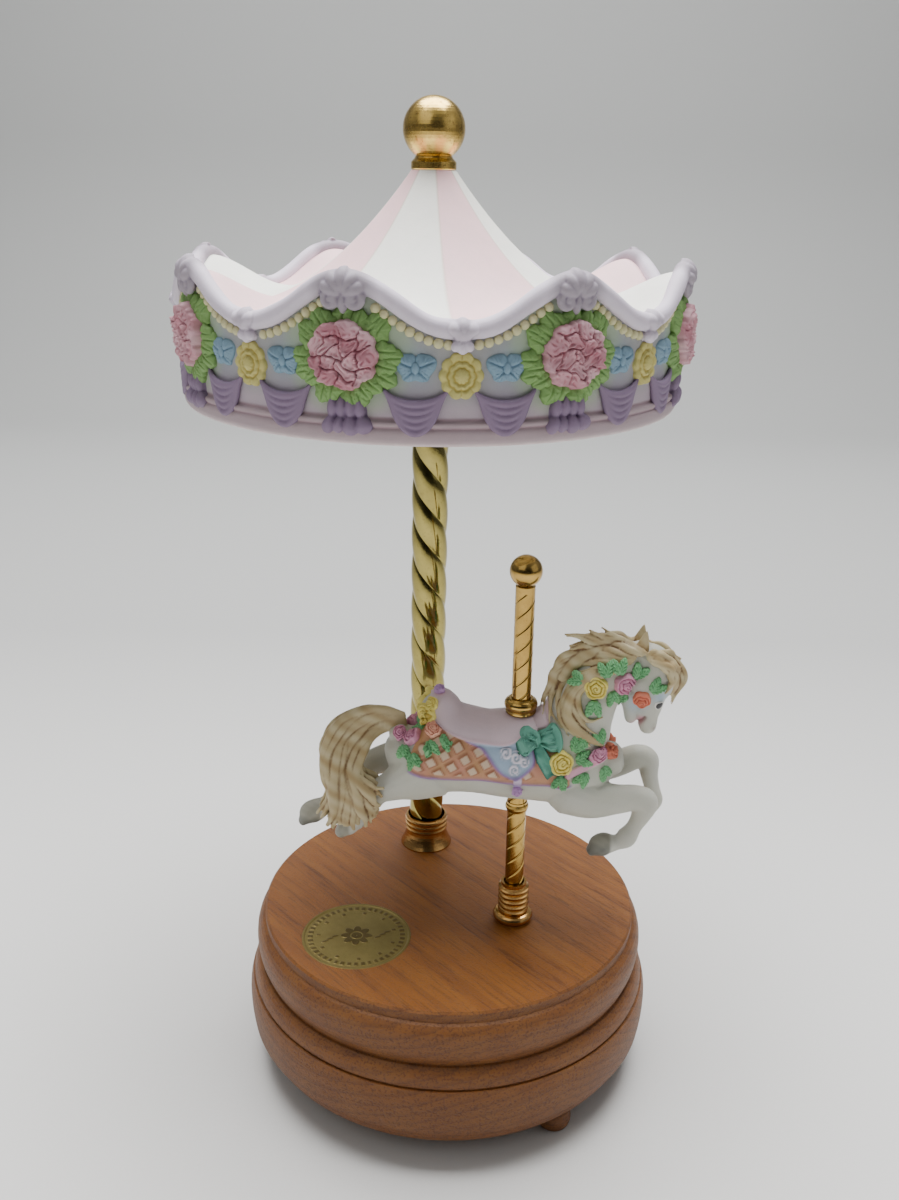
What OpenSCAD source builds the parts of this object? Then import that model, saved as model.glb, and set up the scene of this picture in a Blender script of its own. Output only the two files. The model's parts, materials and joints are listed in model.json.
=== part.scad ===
// Carousel music box: a turned wooden base with a musical movement inside,
// a rope-twist pole that turns a scalloped ceramic canopy, and a ceramic
// horse that rides up and down on a slim pole.
// Millimetres. +Z is up, the origin is on the base's turning axis at table
// level, and the horse's right side faces -Y.

/* [Base] */
// Height of the feet
foot_h = 9; // [7:0.5:11]
// Largest radius of a foot
foot_r = 5.75; // [5:0.05:5.8]
// Radius of the circle that the three feet stand on
foot_circle_r = 60.4; // [60.3:0.05:60.6]
// Height of the wooden base without its feet
base_h = 48; // [47:0.5:49]
// Radius of the base's flat top
base_top_r = 65; // [64:0.5:65.5]
// Largest radius of the lower bulge
bulge_r = 71.1; // [70.5:0.1:72]
// Thickness of wood above the cavity
base_top_t = 8; // [7:0.5:8.5]
// Radius of the cavity
cavity_r = 49.5; // [49:0.5:50]
// Thickness of the bottom cover
cover_t = 3; // [2.5:0.25:3]
// Radius of the inset medallion
medallion_r = 18.3; // [15:0.1:19]

/* [Canopy pole] */
// Distance from the base axis to the canopy pole
pole_circle_r = 37; // [37:0.5:37]
// Direction of the canopy pole seen from above
pole_angle = 104.4; // [100:0.1:110]
// Radius over the ridges of the rope-twist pole
pole_r = 6.35; // [6:0.05:6.5]
// Height of one full turn of the rope twist
pole_pitch = 41; // [36:1:46]
// Radius of the shaft below the pole
shaft_r = 4; // [3.5:0.1:4.2]

/* [Canopy] */
// Radius of the canopy's lower edge
canopy_r = 80.3; // [78:0.1:82]
// Height of the canopy's lower edge above the table
canopy_low_z = 228.7; // [226:0.1:232]
// Height of the canopy's top above the table
canopy_top_z = 300.8; // [299:0.1:303]
// Wall thickness of the canopy
canopy_t = 3; // [2.5:0.1:3.5]
// Number of scallops round the rim
scallops = 8; // [8:1:8]
// Radius of the finial's ball
finial_r = 9.9; // [9:0.1:11]

/* [Horse] */
// Horse pole's place across the base
horse_x = 22.2; // [22:0.1:22.4]
// Horse pole's place towards the front
horse_y = -13.7; // [-13.8:0.1:-13.6]
// Radius of the horse pole
horse_pole_r = 3.175; // [3:0.025:3.2]
// Radius of the ball on top of the horse pole
horse_ball_r = 5.2; // [4.5:0.1:6]
// Height that the horse rises
lift = 10; // [8:0.5:10]

/* [Movement] */
// Teeth of the gear on the drive spindle
drive_teeth = 50; // [50:1:50]
// Teeth of the gear on the canopy shaft
canopy_teeth = 24; // [24:1:24]
// Gap on each side of a gear tooth at the pitch circle
backlash = 0.12; // [0.08:0.01:0.2]
// Radius of the spring barrel
barrel_r = 11.5; // [11:0.1:11.6]
// Radius of the pinned cylinder
cylinder_r = 6.2; // [6:0.1:6.3]
// Teeth of the comb
comb_teeth = 18; // [12:1:22]

/* [Hidden] */
$fn = 96;
cut = 1;                                    // how far a cutter runs past a face
run_fit = 0.05;                             // radial clearance of a running fit

// base levels
base_z = foot_h;
top_z = foot_h + base_h;
ceiling_z = top_z - base_top_t;
cover_top_z = base_z + cover_t;
rebate_r = 54.4;
cover_r = rebate_r - 0.2;
cover_screw_r = 51.9;
gear_pocket_r = 15;
key_hole_r = 4;
wood_screw_r = 1;
wood_screw_h = 10;
wood_screw_head_r = 1.9;
wood_screw_head_h = 0.9;
foot_angles = [-53, 67, 187];
cover_screw_angles = [7, 127, 247];
medallion_at = [-31, -26];
medallion_t = 1.4;
medallion_rim_w = 1;
medallion_rim_h = 0.25;

// poles
pole_x = pole_circle_r * cos(pole_angle);
pole_y = pole_circle_r * sin(pole_angle);
pole_low_z = top_z + 0.6;
pole_high_z = canopy_top_z - 9;
pole_bore_r = 4.4;
collar_bore_r = pole_r + 0.6;
washer_r = 6;
washer_t = 1;
stud_r = 2;
stud_rise = 9;                              // height of the stud above the canopy's top
stud_plug_h = 12;                           // depth of the stud's plug inside the twisted pole
shaft_plug_h = 14;                          // height of the shaft's plug inside the twisted pole
post_r = 5;
post_top_z = 27.3;
stub_r = 1.5;
stub_low_z = 21;                            // bottom of the thrust post's bore
end_float = 0.05;                           // gap under a shoulder that turns on a face
pole_bushing_r = 6.5;
horse_bushing_r = 5;
spindle_bushing_r = 5;
spindle_bushing_h = 3;

// canopy
roof_edge_z = canopy_low_z + 27.3;
roof_edge_r = canopy_r - 2.3;
roof_hub_r = 7;
valley_z = canopy_low_z + 29.3;
peak_z = canopy_low_z + 42.3;
wall_r = canopy_r - 0.4;
first_peak_angle = -105.4;
scallop_step = 360 / scallops;

// horse
follower_r = 3.1;
follower_low_z = 33.5;
pole_tip_z = follower_low_z + follower_r;
horse_ball_z = top_z + 126.5;
horse_pole_top_z = horse_ball_z - horse_ball_r + 0.4;
horse_circle_r = norm([horse_x, horse_y]);
horse_angle = atan2(horse_y, horse_x);
guide_r = 1.5;
guide_circle_r = 35;
guide_depth = 4;                            // depth of the guide pin in the wood
guide_x = guide_circle_r * cos(horse_angle);
guide_y = guide_circle_r * sin(horse_angle);
arm_t = 2.2;

// gears and cam
gear_module = 2 * pole_circle_r / (drive_teeth + canopy_teeth);
pressure_angle = 20;
gear_z = 28.3;
gear_t = 3;
spindle_r = 2.5;
cam_hub_z = 32;
cam_low_z = follower_low_z - 0.1;
cam_half_w = 3.5;
cam_steps = 48;

// movement
plate_z = cover_top_z;
plate_t = 2;
plate_x = -14;
plate_y = -40;
plate_w = 41;
plate_d = 52.5;
plate_top_z = plate_z + plate_t;
barrel_z = 15.6;
barrel_h = 9.9;
arbor_r = 1.6;
cyl_y = -18.8;
cyl_z = 20.9;
cyl_x0 = -9;
cyl_x1 = 17.6;
journal_r = 1;
worm_r = 1.4;
worm_wheel_teeth = 30;
worm_wheel_r = 6.2;
worm_x = 19.8;
worm_y = cyl_y - worm_wheel_r - worm_r - 0.2;
worm_pivot_r = 0.4;
bridge_z = 26.2;                            // underside of the governor's upper bridge
bridge_t = 1.3;
fan_z = bridge_z + bridge_t + 0.5;
fan_h = 2.8;
fan_w = 8.8;
screw_spots = [[-11, -37], [20.8, -37], [-11, 9.5]];
machine_screw_r = 1.2;
screw_head_r = 2.4;
screw_head_h = 1.2;
comb_back_y = -39;
comb_root_y = -33;                          // where the comb's teeth leave its clamped back
comb_t = 0.8;
comb_slot_w = 0.4;
comb_screw_y = -36;
comb_screw_x = [0, 9];

brass = "goldenrod";
steel = "silver";
oak = "peru";

// ---------- shared shapes ----------

// points of an elliptical arc from angle a0 to a1
function arc(cx, cy, rx, ry, a0, a1, n) =
    [for (i = [0:n]) let (a = a0 + (a1 - a0) * i / n) [cx + rx * cos(a), cy + ry * sin(a)]];

// a ring of turned metal: outline points from bottom to top, and a bore
module turned(outline, bore_r) {
    low = outline[0][1];
    high = outline[len(outline) - 1][1];
    rotate_extrude() polygon(concat([[bore_r, low]], outline, [[bore_r, high]]));
}

// a stack of n rounded beads of radius r, each h high, on a core of radius r - depth
function beads(r, depth, z, h, n) =
    [for (k = [0:n - 1]) each arc(r - depth, z + h * (k + 0.5), depth, h / 2 * 0.92, -80, 80, 4)];

module tube(r_out, r_in, z0, z1) {
    translate([0, 0, z0]) difference() {
        cylinder(r = r_out, h = z1 - z0);
        translate([0, 0, -cut]) cylinder(r = r_in, h = z1 - z0 + 2 * cut);
    }
}

// involute flank: half the tooth's angle at radius r, for a gear of pitch radius rp
function inv(a) = tan(a) - a * PI / 180;
function half_angle(r, rp, thin) =
    let (rb = rp * cos(pressure_angle), a = acos(min(1, rb / max(r, rb))))
    (PI * gear_module / 4 - thin) / rp * 180 / PI + (inv(pressure_angle) - inv(a)) * 180 / PI;

function tooth(rp, thin, at) =
    let (root = rp - 1.25 * gear_module, tip = rp + gear_module,
         radii = [root, rp - 0.6 * gear_module, rp, rp + 0.5 * gear_module, tip])
    concat([for (r = radii) let (a = at - half_angle(r, rp, thin)) [r * cos(a), r * sin(a)]],
           [for (i = [len(radii) - 1:-1:0]) let (r = radii[i], a = at + half_angle(r, rp, thin))
                [r * cos(a), r * sin(a)]]);

module gear(teeth, thin, bore_r, t, hub_r) {
    rp = gear_module * teeth / 2;
    difference() {
        linear_extrude(height = t)
            polygon([for (k = [0:teeth - 1]) each tooth(rp, thin, 360 * k / teeth)]);
        translate([0, 0, -cut]) cylinder(r = bore_r, h = t + 2 * cut);
        if (rp > 20) for (k = [0:4]) rotate(72 * k + 36) translate([(rp + hub_r) / 2 - 1, 0, -cut])
            cylinder(r = 4.6, h = t + 2 * cut);
    }
}

// a small toothed wheel with straight-sided teeth
module small_wheel(teeth, tip_r, depth, t) {
    step = 360 / teeth;
    flank = [[-0.3, 1], [-0.12, 0], [0.12, 0], [0.3, 1]];
    linear_extrude(height = t) polygon([for (k = [0:teeth - 1], s = flank)
        let (a = (k + s[0]) * step, r = tip_r - depth * s[1]) [r * cos(a), r * sin(a)]]);
}

// a rounded chain through [x, y, z, radius] points
module limb(spots, fn = 16) {
    for (i = [0:len(spots) - 2]) hull() for (s = [spots[i], spots[i + 1]])
        translate([s[0], s[1], s[2]]) sphere(r = s[3], $fn = fn);
}

module at_pole() { translate([pole_x, pole_y, 0]) children(); }
module at_horse() { translate([horse_x, horse_y, 0]) children(); }
module each_scallop(offset = 0) {
    for (k = [0:scallops - 1]) rotate(first_peak_angle + offset + k * scallop_step) children();
}

// ---------- base ----------

function base_outline() = concat(
    [[0, top_z], [base_top_r - 0.7, top_z], [base_top_r, top_z - 0.7], [base_top_r, top_z - 3.5]],
    arc(base_top_r - 1, top_z - 10, 4, 6.5, 76, 0, 5),
    arc(base_top_r - 1, top_z - 10, 4, 9.5, -11, -55, 4),
    [[base_top_r + 1.1, top_z - 18.2], [base_top_r + 1.1, top_z - 18.8]],
    arc(base_top_r + 0.5, top_z - 25.4, 4, 6.8, 70, 3, 5),
    [[bulge_r - 2, top_z - 25.5], [bulge_r - 2, top_z - 26]],
    arc(bulge_r - 8, base_z + 16, 8, 12, 30, 0, 4),
    arc(bulge_r - 8, base_z + 16, 8, 22, -7, -27, 3),
    [[bulge_r - 1.7, base_z + 5.8], [bulge_r - 2.7, base_z + 5.6]],
    arc(bulge_r - 8.6, base_z + 4.5, 5.9, 6, 0, -48, 4),
    [[0, base_z]]);

module base_body() {
    color(oak) difference() {
        rotate_extrude() polygon(base_outline());
        translate([0, 0, base_z - cut]) cylinder(r = cavity_r, h = base_h - base_top_t + cut);
        translate([0, 0, base_z - cut]) cylinder(r = rebate_r, h = cover_t + cut);
        at_pole() translate([0, 0, base_z - cut])
            cylinder(r = gear_pocket_r, h = base_h - base_top_t + cut);
        at_pole() cylinder(r = pole_bushing_r, h = top_z + cut);
        at_horse() cylinder(r = horse_bushing_r, h = top_z + cut);
        translate([guide_x, guide_y, ceiling_z - cut]) cylinder(r = guide_r, h = guide_depth + cut);
        translate([medallion_at[0], medallion_at[1], top_z - medallion_t])
            cylinder(r = medallion_r + 0.1, h = medallion_t + cut);
        for (a = cover_screw_angles) rotate(a) translate([cover_screw_r, 0, base_z])
            cylinder(r = wood_screw_r, h = wood_screw_h);
    }
}

// countersunk head of a wood screw, wide end down
module wood_screw_head() { cylinder(r1 = wood_screw_head_r, r2 = wood_screw_r, h = wood_screw_head_h); }

module bottom_cover() {
    color("saddlebrown") difference() {
        translate([0, 0, base_z]) cylinder(r = cover_r, h = cover_t);
        translate([0, 0, base_z - cut]) cylinder(r = key_hole_r, h = cover_t + 2 * cut);
        for (a = cover_screw_angles) rotate(a) translate([cover_screw_r, 0, base_z]) {
            translate([0, 0, -cut]) cylinder(r = wood_screw_r, h = cover_t + 2 * cut);
            wood_screw_head();
        }
        for (s = screw_spots) translate([s[0], s[1], base_z - cut])
            cylinder(r = machine_screw_r, h = cover_t + 2 * cut);
    }
}

module cover_screws() {
    color(brass) for (a = cover_screw_angles) rotate(a) translate([cover_screw_r, 0, base_z]) {
        wood_screw_head();
        translate([0, 0, wood_screw_head_h])
            cylinder(r = wood_screw_r, h = wood_screw_h - wood_screw_head_h);
    }
}

module foot(n) {
    a = foot_angles[n];
    color(oak) translate([foot_circle_r * cos(a), foot_circle_r * sin(a), 0])
        rotate_extrude() polygon(concat([[0, 0], [3.6, 0]],
            arc(foot_r - 2.2, foot_h * 0.45, 2.2, foot_h * 0.43, -75, 62, 7),
            [[foot_r - 1.4, foot_h], [0, foot_h]]));
}
module foot_1() { foot(0); }
module foot_2() { foot(1); }
module foot_3() { foot(2); }

module medallion() {
    color("darkkhaki") translate([medallion_at[0], medallion_at[1], top_z - medallion_t])
        rotate_extrude() polygon([[0, 0], [medallion_r, 0], [medallion_r, medallion_t - 0.2],
            [medallion_r - 0.2, medallion_t], [medallion_r - medallion_rim_w, medallion_t],
            [medallion_r - medallion_rim_w - 0.2, medallion_t - medallion_rim_h],
            [0, medallion_t - medallion_rim_h]]);
}

module pole_collar() {
    bell_h = 6.2;
    bell_r = 7.5;
    flare = 2.1;
    color(brass) at_pole() turned(concat(
        [[bell_r + flare, top_z]],
        [for (u = [0:0.2:1]) [bell_r + flare * pow(1 - u, 1.5), top_z + 0.5 + (bell_h - 0.5) * u]],
        beads(bell_r + 0.5, 0.8, top_z + bell_h, 1.9, 3),
        [[bell_r - 0.2, top_z + 12.2]]), collar_bore_r);
}

module horse_collar() {
    color(brass) at_horse() turned(concat(
        [[6, top_z]], arc(5, top_z + 1.75, 1.85, 1.75, -55, 80, 6),
        beads(5.3, 0.75, top_z + 3.5, 2, 5),
        [[4.35, top_z + 13.6], [4.35, top_z + 14.9]]), horse_pole_r + 0.35);
}

module pole_bushing() {
    color(brass) at_pole() tube(pole_bushing_r, shaft_r + run_fit, ceiling_z, top_z);
}

module horse_bushing() {
    color(brass) at_horse() tube(horse_bushing_r, horse_pole_r + run_fit, ceiling_z, top_z);
}

module spindle_bushing() {
    color(brass) tube(spindle_bushing_r, spindle_r + run_fit, ceiling_z - spindle_bushing_h, ceiling_z);
}

module thrust_post() {
    color(brass) at_pole() difference() {
        translate([0, 0, cover_top_z]) cylinder(r = post_r, h = post_top_z - cover_top_z);
        translate([0, 0, stub_low_z]) cylinder(r = stub_r + run_fit, h = post_top_z - stub_low_z + cut);
    }
}

module guide_pin() {
    color(steel) translate([guide_x, guide_y, follower_low_z - 0.5])
        cylinder(r = guide_r, h = ceiling_z + guide_depth - follower_low_z + 0.5);
}

// ---------- movement, fixed parts ----------

module bedplate() {
    color(steel) difference() {
        translate([plate_x, plate_y, plate_z]) cube([plate_w, plate_d, plate_t]);
        translate([0, 0, plate_z - cut]) cylinder(r = arbor_r + 0.2, h = plate_t + 2 * cut);
        for (s = screw_spots) translate([s[0], s[1], plate_z - cut])
            cylinder(r = machine_screw_r, h = plate_t + 2 * cut);
    }
}

module movement_screws() {
    color(steel) for (s = screw_spots) translate([s[0], s[1], base_z]) {
        translate([0, 0, -screw_head_h]) cylinder(r = screw_head_r, h = screw_head_h);
        cylinder(r = machine_screw_r, h = cover_t + plate_t);
    }
}

module comb() {
    pitch = (cyl_x1 - cyl_x0) / comb_teeth;
    tip_y = cyl_y - cylinder_r - 0.65;
    color(steel) difference() {
        translate([cyl_x0, comb_back_y, cyl_z]) cube([cyl_x1 - cyl_x0, tip_y - comb_back_y, comb_t]);
        for (k = [1:comb_teeth - 1])
            translate([cyl_x0 + k * pitch - comb_slot_w / 2, comb_root_y, cyl_z - cut])
                cube([comb_slot_w, tip_y - comb_root_y + cut, comb_t + 2 * cut]);
        for (x = comb_screw_x) translate([x, comb_screw_y, cyl_z - cut])
            cylinder(r = machine_screw_r, h = comb_t + 2 * cut);
    }
}

module comb_block() {
    color("dimgray") difference() {
        translate([cyl_x0, comb_back_y, plate_top_z])
            cube([cyl_x1 - cyl_x0, comb_root_y - comb_back_y, cyl_z - plate_top_z]);
        for (x = comb_screw_x) translate([x, comb_screw_y, plate_top_z + 1])
            cylinder(r = machine_screw_r, h = cyl_z - plate_top_z);
    }
}

module comb_screws() {
    shank_h = cyl_z + comb_t - plate_top_z - 2;
    slot = 0.6;
    color(brass) for (x = comb_screw_x) translate([x, comb_screw_y, plate_top_z + 2]) {
        cylinder(r = machine_screw_r, h = shank_h);
        translate([0, 0, shank_h]) difference() {
            cylinder(r = screw_head_r - 0.2, h = screw_head_h);
            translate([-screw_head_r, -slot / 2, screw_head_h - slot + 0.1])
                cube([2 * screw_head_r, slot, slot]);
        }
    }
}

module cylinder_brackets() {
    bracket_t = 1;
    bracket_w = 8;
    color(brass) for (x = [cyl_x0 - 2.6, cyl_x1 + 3]) difference() {
        translate([x, cyl_y - bracket_w / 2, plate_top_z])
            cube([bracket_t, bracket_w, cyl_z + 2.5 - plate_top_z]);
        translate([x - cut, cyl_y, cyl_z]) rotate([0, 90, 0])
            cylinder(r = journal_r + run_fit, h = bracket_t + 2 * cut);
    }
}

module governor_frame() {
    arm_l = 7;
    arm_w = 4;
    post_t = 1.6;
    height = bridge_z + bridge_t - plate_top_z;
    color(brass) translate([worm_x - arm_w / 2, worm_y - arm_w / 2, plate_top_z]) difference() {
        union() {
            cube([arm_l, arm_w, post_t]);
            translate([0, 0, height - bridge_t]) cube([arm_l, arm_w, bridge_t]);
            translate([arm_l, 0, 0]) cube([post_t, arm_w, height]);
        }
        translate([arm_w / 2, arm_w / 2, -cut])
            cylinder(r = worm_pivot_r + run_fit, h = height + 2 * cut);
    }
}

module ratchet_click() {
    color(steel) {
        translate([-5, 5.6, plate_top_z]) cube([2.4, 4, 1.2]);
        translate([-2.6, 5.6, plate_top_z]) cube([3, 0.8, 1]);
    }
}

// ---------- canopy, pole and their gear ----------

// three round strands side by side, twisted into a rope
module twisted_pole() {
    height = pole_high_z - pole_low_z;
    outline = [for (i = [0:20]) let (a = i * 360 / 21, r = pole_r - 0.55 + 0.55 * cos(3 * a))
        [r * cos(a), r * sin(a)]];
    color(brass) at_pole() translate([0, 0, pole_low_z]) difference() {
        linear_extrude(height = height, twist = 360 * height / pole_pitch, slices = 80, segments = 21)
            polygon(outline);
        translate([0, 0, -cut]) cylinder(r = pole_bore_r, h = height + 2 * cut);
    }
}

module pole_shaft() {
    color(steel) at_pole() {
        translate([0, 0, stub_low_z + 1]) cylinder(r = stub_r, h = 6);
        translate([0, 0, post_top_z + end_float])
            cylinder(r = shaft_r, h = pole_low_z - post_top_z - end_float);
        translate([0, 0, pole_low_z]) cylinder(r = pole_bore_r, h = shaft_plug_h);
    }
}

module canopy_gear() {
    color(brass) at_pole() translate([0, 0, gear_z]) rotate(pole_angle + 180 + 180 / canopy_teeth)
        gear(canopy_teeth, backlash, shaft_r, gear_t, shaft_r + 2);
}

// height of the tent roof's outside at radius r
function roof_z(r) = roof_edge_z + (canopy_top_z - roof_edge_z)
    * pow((roof_edge_r - r) / (roof_edge_r - roof_hub_r), 2.2);

module canopy_roof() {
    radii = [roof_hub_r, 10, 14, 18, 23, 28, 34, 41, 49, 58, 68, roof_edge_r];
    hub_low = pole_high_z + washer_t;
    rotate_extrude() polygon(concat(
        [[stud_r + 0.2, canopy_top_z]], [for (r = radii) [r, roof_z(r)]],
        [for (i = [len(radii) - 1:-1:3]) [radii[i], roof_z(radii[i]) - canopy_t]],
        [[12, hub_low], [stud_r + 0.2, hub_low]]));
}

module canopy_band() {
    inner_r = wall_r - canopy_t;
    sagitta = peak_z - valley_z;
    half_chord = wall_r * sin(scallop_step / 2);
    cut_r = (half_chord * half_chord + sagitta * sagitta) / (2 * sagitta);
    lip_r = canopy_r + 0.9;
    high_z = peak_z + 2;
    difference() {
        rotate_extrude() polygon([[inner_r, canopy_low_z], [canopy_r, canopy_low_z],
            [lip_r, canopy_low_z + 1.5], [lip_r, canopy_low_z + 4.5],
            [canopy_r, canopy_low_z + 6], [wall_r, canopy_low_z + 7],
            [wall_r + 1, high_z], [inner_r, high_z]]);
        each_scallop(scallop_step / 2) translate([0, 0, valley_z + cut_r]) rotate([0, 90, 0])
            cylinder(r = cut_r, h = canopy_r + 2 * cut);
    }
}

// round boss on the band, where a modelled flower stands out from it
module boss(r, z, out_r) {
    root = 1.5;
    translate([wall_r - root, 0, z]) rotate([0, 90, 0]) cylinder(r = r, h = out_r - wall_r + root);
}

module canopy() {
    rose_r = 13;
    daisy_r = 7;
    color("lavenderblush") at_pole() {
        canopy_roof();
        canopy_band();
        each_scallop() boss(rose_r, canopy_low_z + 24, canopy_r + 2.6);
        each_scallop(scallop_step / 2) boss(daisy_r, canopy_low_z + 19.5, canopy_r + 1.8);
    }
}

module canopy_washer() {
    color("beige") at_pole() tube(washer_r, stud_r, pole_high_z, pole_high_z + washer_t);
}

module canopy_stud() {
    color(steel) at_pole() {
        translate([0, 0, pole_high_z - stud_plug_h]) cylinder(r = pole_bore_r, h = stud_plug_h);
        translate([0, 0, pole_high_z]) cylinder(r = stud_r, h = canopy_top_z + stud_rise - pole_high_z);
    }
}

module finial() {
    ring_r = 7.25;
    ring_z = canopy_top_z + 2.3;
    ball_z = canopy_top_z + 12.1;
    color(brass) at_pole() difference() {
        rotate_extrude() polygon(concat(
            [[0, canopy_top_z], [ring_r - 0.15, canopy_top_z], [ring_r, canopy_top_z + 0.3],
             [ring_r, ring_z], [ring_r - 1.05, ring_z + 1.1]],
            arc(0, ball_z, finial_r, finial_r, -54, 90, 24)));
        translate([0, 0, canopy_top_z - cut]) cylinder(r = stud_r, h = stud_rise + cut);
    }
}

// ---------- movement, turning parts ----------

module spring_barrel() {
    wall = 0.6;
    color(brass) difference() {
        union() {
            translate([0, 0, barrel_z]) cylinder(r = barrel_r, h = barrel_h);
            translate([0, 0, barrel_z + barrel_h - 1]) small_wheel(50, barrel_r + 0.7, 0.6, 1);
        }
        translate([0, 0, barrel_z + wall]) cylinder(r = barrel_r - wall, h = barrel_h - 2 * wall);
        translate([0, 0, barrel_z - cut]) cylinder(r = arbor_r + 0.2, h = 2 * cut);
    }
}

// a coiled strip between the arbor's hub and the barrel's wall
module mainspring() {
    turns = 6;
    r0 = 3.4;
    r1 = barrel_r - 1.2;
    strip = 0.3;
    steps = turns * 12;
    function spiral(i, side) = let (a = 360 * turns * i / steps, r = r0 + (r1 - r0) * i / steps + side)
        [r * cos(a), r * sin(a)];
    color("slategray") translate([0, 0, barrel_z + 1.2]) linear_extrude(height = barrel_h - 2.4)
        polygon(concat([for (i = [0:steps]) spiral(i, 0)], [for (i = [steps:-1:0]) spiral(i, strip)]));
}

module spindle() {
    low = barrel_z + barrel_h;
    color(steel) translate([0, 0, low]) cylinder(r = spindle_r, h = ceiling_z - 0.5 - low);
}

module drive_gear() {
    color(brass) translate([0, 0, gear_z]) rotate(pole_angle)
        gear(drive_teeth, backlash, spindle_r, gear_t, 6);
}

// ring whose top rises evenly over half a turn and falls over the other half
module cam_ring() {
    r0 = horse_circle_r - cam_half_w;
    r1 = horse_circle_r + cam_half_w;
    function top(i) = cam_low_z + lift * (1 - abs(1 - 2 * i / cam_steps));
    points = [for (i = [0:cam_steps - 1]) let (a = 360 * i / cam_steps)
        each [[r0 * cos(a), r0 * sin(a), cam_hub_z], [r1 * cos(a), r1 * sin(a), cam_hub_z],
              [r1 * cos(a), r1 * sin(a), top(i)], [r0 * cos(a), r0 * sin(a), top(i)]]];
    faces = [for (i = [0:cam_steps - 1], s = [0:3])
        let (j = (i + 1) % cam_steps, t = (s + 1) % 4)
        each [[4 * j + t, 4 * j + s, 4 * i + s], [4 * i + t, 4 * j + t, 4 * i + s]]];
    polyhedron(points = points, faces = faces, convexity = 4);
}

module lift_cam() {
    color("ivory") rotate(horse_angle) difference() {
        union() {
            cam_ring();
            translate([0, 0, cam_hub_z]) cylinder(r = horse_circle_r - cam_half_w + 0.3, h = 1.2);
            translate([0, 0, cam_hub_z]) cylinder(r = 6, h = 5);
        }
        translate([0, 0, cam_hub_z - cut]) cylinder(r = spindle_r + run_fit, h = 5 + 2 * cut);
    }
}

module along_x(x0) { translate([x0, cyl_y, cyl_z]) rotate([0, 90, 0]) children(); }

module music_cylinder() {
    pitch = (cyl_x1 - cyl_x0) / comb_teeth;
    color(brass) {
        along_x(cyl_x0) cylinder(r = cylinder_r, h = cyl_x1 - cyl_x0);
        along_x(cyl_x0 - 3) cylinder(r = journal_r, h = cyl_x1 - cyl_x0 + 7.5);
        for (k = [0:comb_teeth - 1], m = [0:2])
            translate([cyl_x0 + (k + 0.5) * pitch, cyl_y, cyl_z])
                rotate([20 + 120 * m + 47 * k, 0, 0]) translate([0, 0, cylinder_r - 0.3])
                    cylinder(r = 0.2, h = 0.7);
    }
}

module cylinder_wheels() {
    color(brass) {
        along_x(cyl_x0 - 1.4) difference() {
            small_wheel(12, 5, 1.2, 1.2);
            translate([0, 0, -cut]) cylinder(r = journal_r, h = 4);
        }
        along_x(worm_x - 0.6) difference() {
            small_wheel(worm_wheel_teeth, worm_wheel_r, 0.6, 1.2);
            translate([0, 0, -cut]) cylinder(r = journal_r, h = 4);
        }
    }
}

module governor_worm() {
    color(steel) translate([worm_x, worm_y, 0]) {
        translate([0, 0, plate_top_z + 0.2]) cylinder(r = worm_pivot_r, h = fan_z + fan_h - plate_top_z);
        translate([0, 0, plate_top_z + 1.8]) cylinder(r = 0.8, h = 10.2);
        rotate_extrude() polygon([for (k = [0:5], s = [[0.7, 0], [worm_r, 0.25], [worm_r, 0.5], [0.7, 0.75]])
            [s[0], cyl_z + (k - 2.9) * 1.05 + s[1]]]);
    }
}

module governor_fan() {
    color(brass) translate([worm_x, worm_y, fan_z]) difference() {
        union() {
            cylinder(r = 1.6, h = fan_h);
            translate([-fan_w / 2, -0.3, 0]) cube([fan_w, 0.6, fan_h]);
        }
        translate([0, 0, -cut]) cylinder(r = worm_pivot_r, h = fan_h + 2 * cut);
    }
}

// ---------- winding ----------

// a barrel on the arbor's end with two pierced wings
module winding_key() {
    low_z = 1.4;
    barrel_h = 6.8;
    socket_z = 3;
    wing_r = 5.4;
    wing_h = 6.6;
    wing_t = 1.4;
    color(brass) translate([0, 0, low_z]) {
        difference() {
            cylinder(r = 3, h = barrel_h);
            translate([0, 0, socket_z]) cylinder(r = arbor_r, h = barrel_h);
        }
        for (s = [-1, 1]) translate([s * 7.6, wing_t / 2, barrel_h / 2]) rotate([90, 0, 0]) difference() {
            intersection() {
                cylinder(r = wing_r, h = wing_t);
                translate([-wing_r, -wing_h / 2, 0]) cube([2 * wing_r, wing_h, wing_t]);
            }
            translate([0, 0, -cut]) cylinder(r = 1.9, h = wing_t + 2 * cut);
        }
    }
}

module winding_arbor() {
    color(steel) {
        translate([0, 0, 4.4]) cylinder(r = arbor_r, h = 19.6);
        translate([0, 0, barrel_z + 1.4]) cylinder(r = 3, h = 7);
    }
}

module ratchet_wheel() {
    teeth = 16;
    step = 360 / teeth;
    color(steel) translate([0, 0, plate_top_z + 0.15]) difference() {
        linear_extrude(height = 0.9) polygon([for (k = [0:teeth - 1], s = [[0, 5.2], [0.15, 4.3]])
            let (a = (k + s[0]) * step) [s[1] * cos(a), s[1] * sin(a)]]);
        translate([0, 0, -cut]) cylinder(r = arbor_r, h = 4);
    }
}

// ---------- horse ----------

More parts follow.
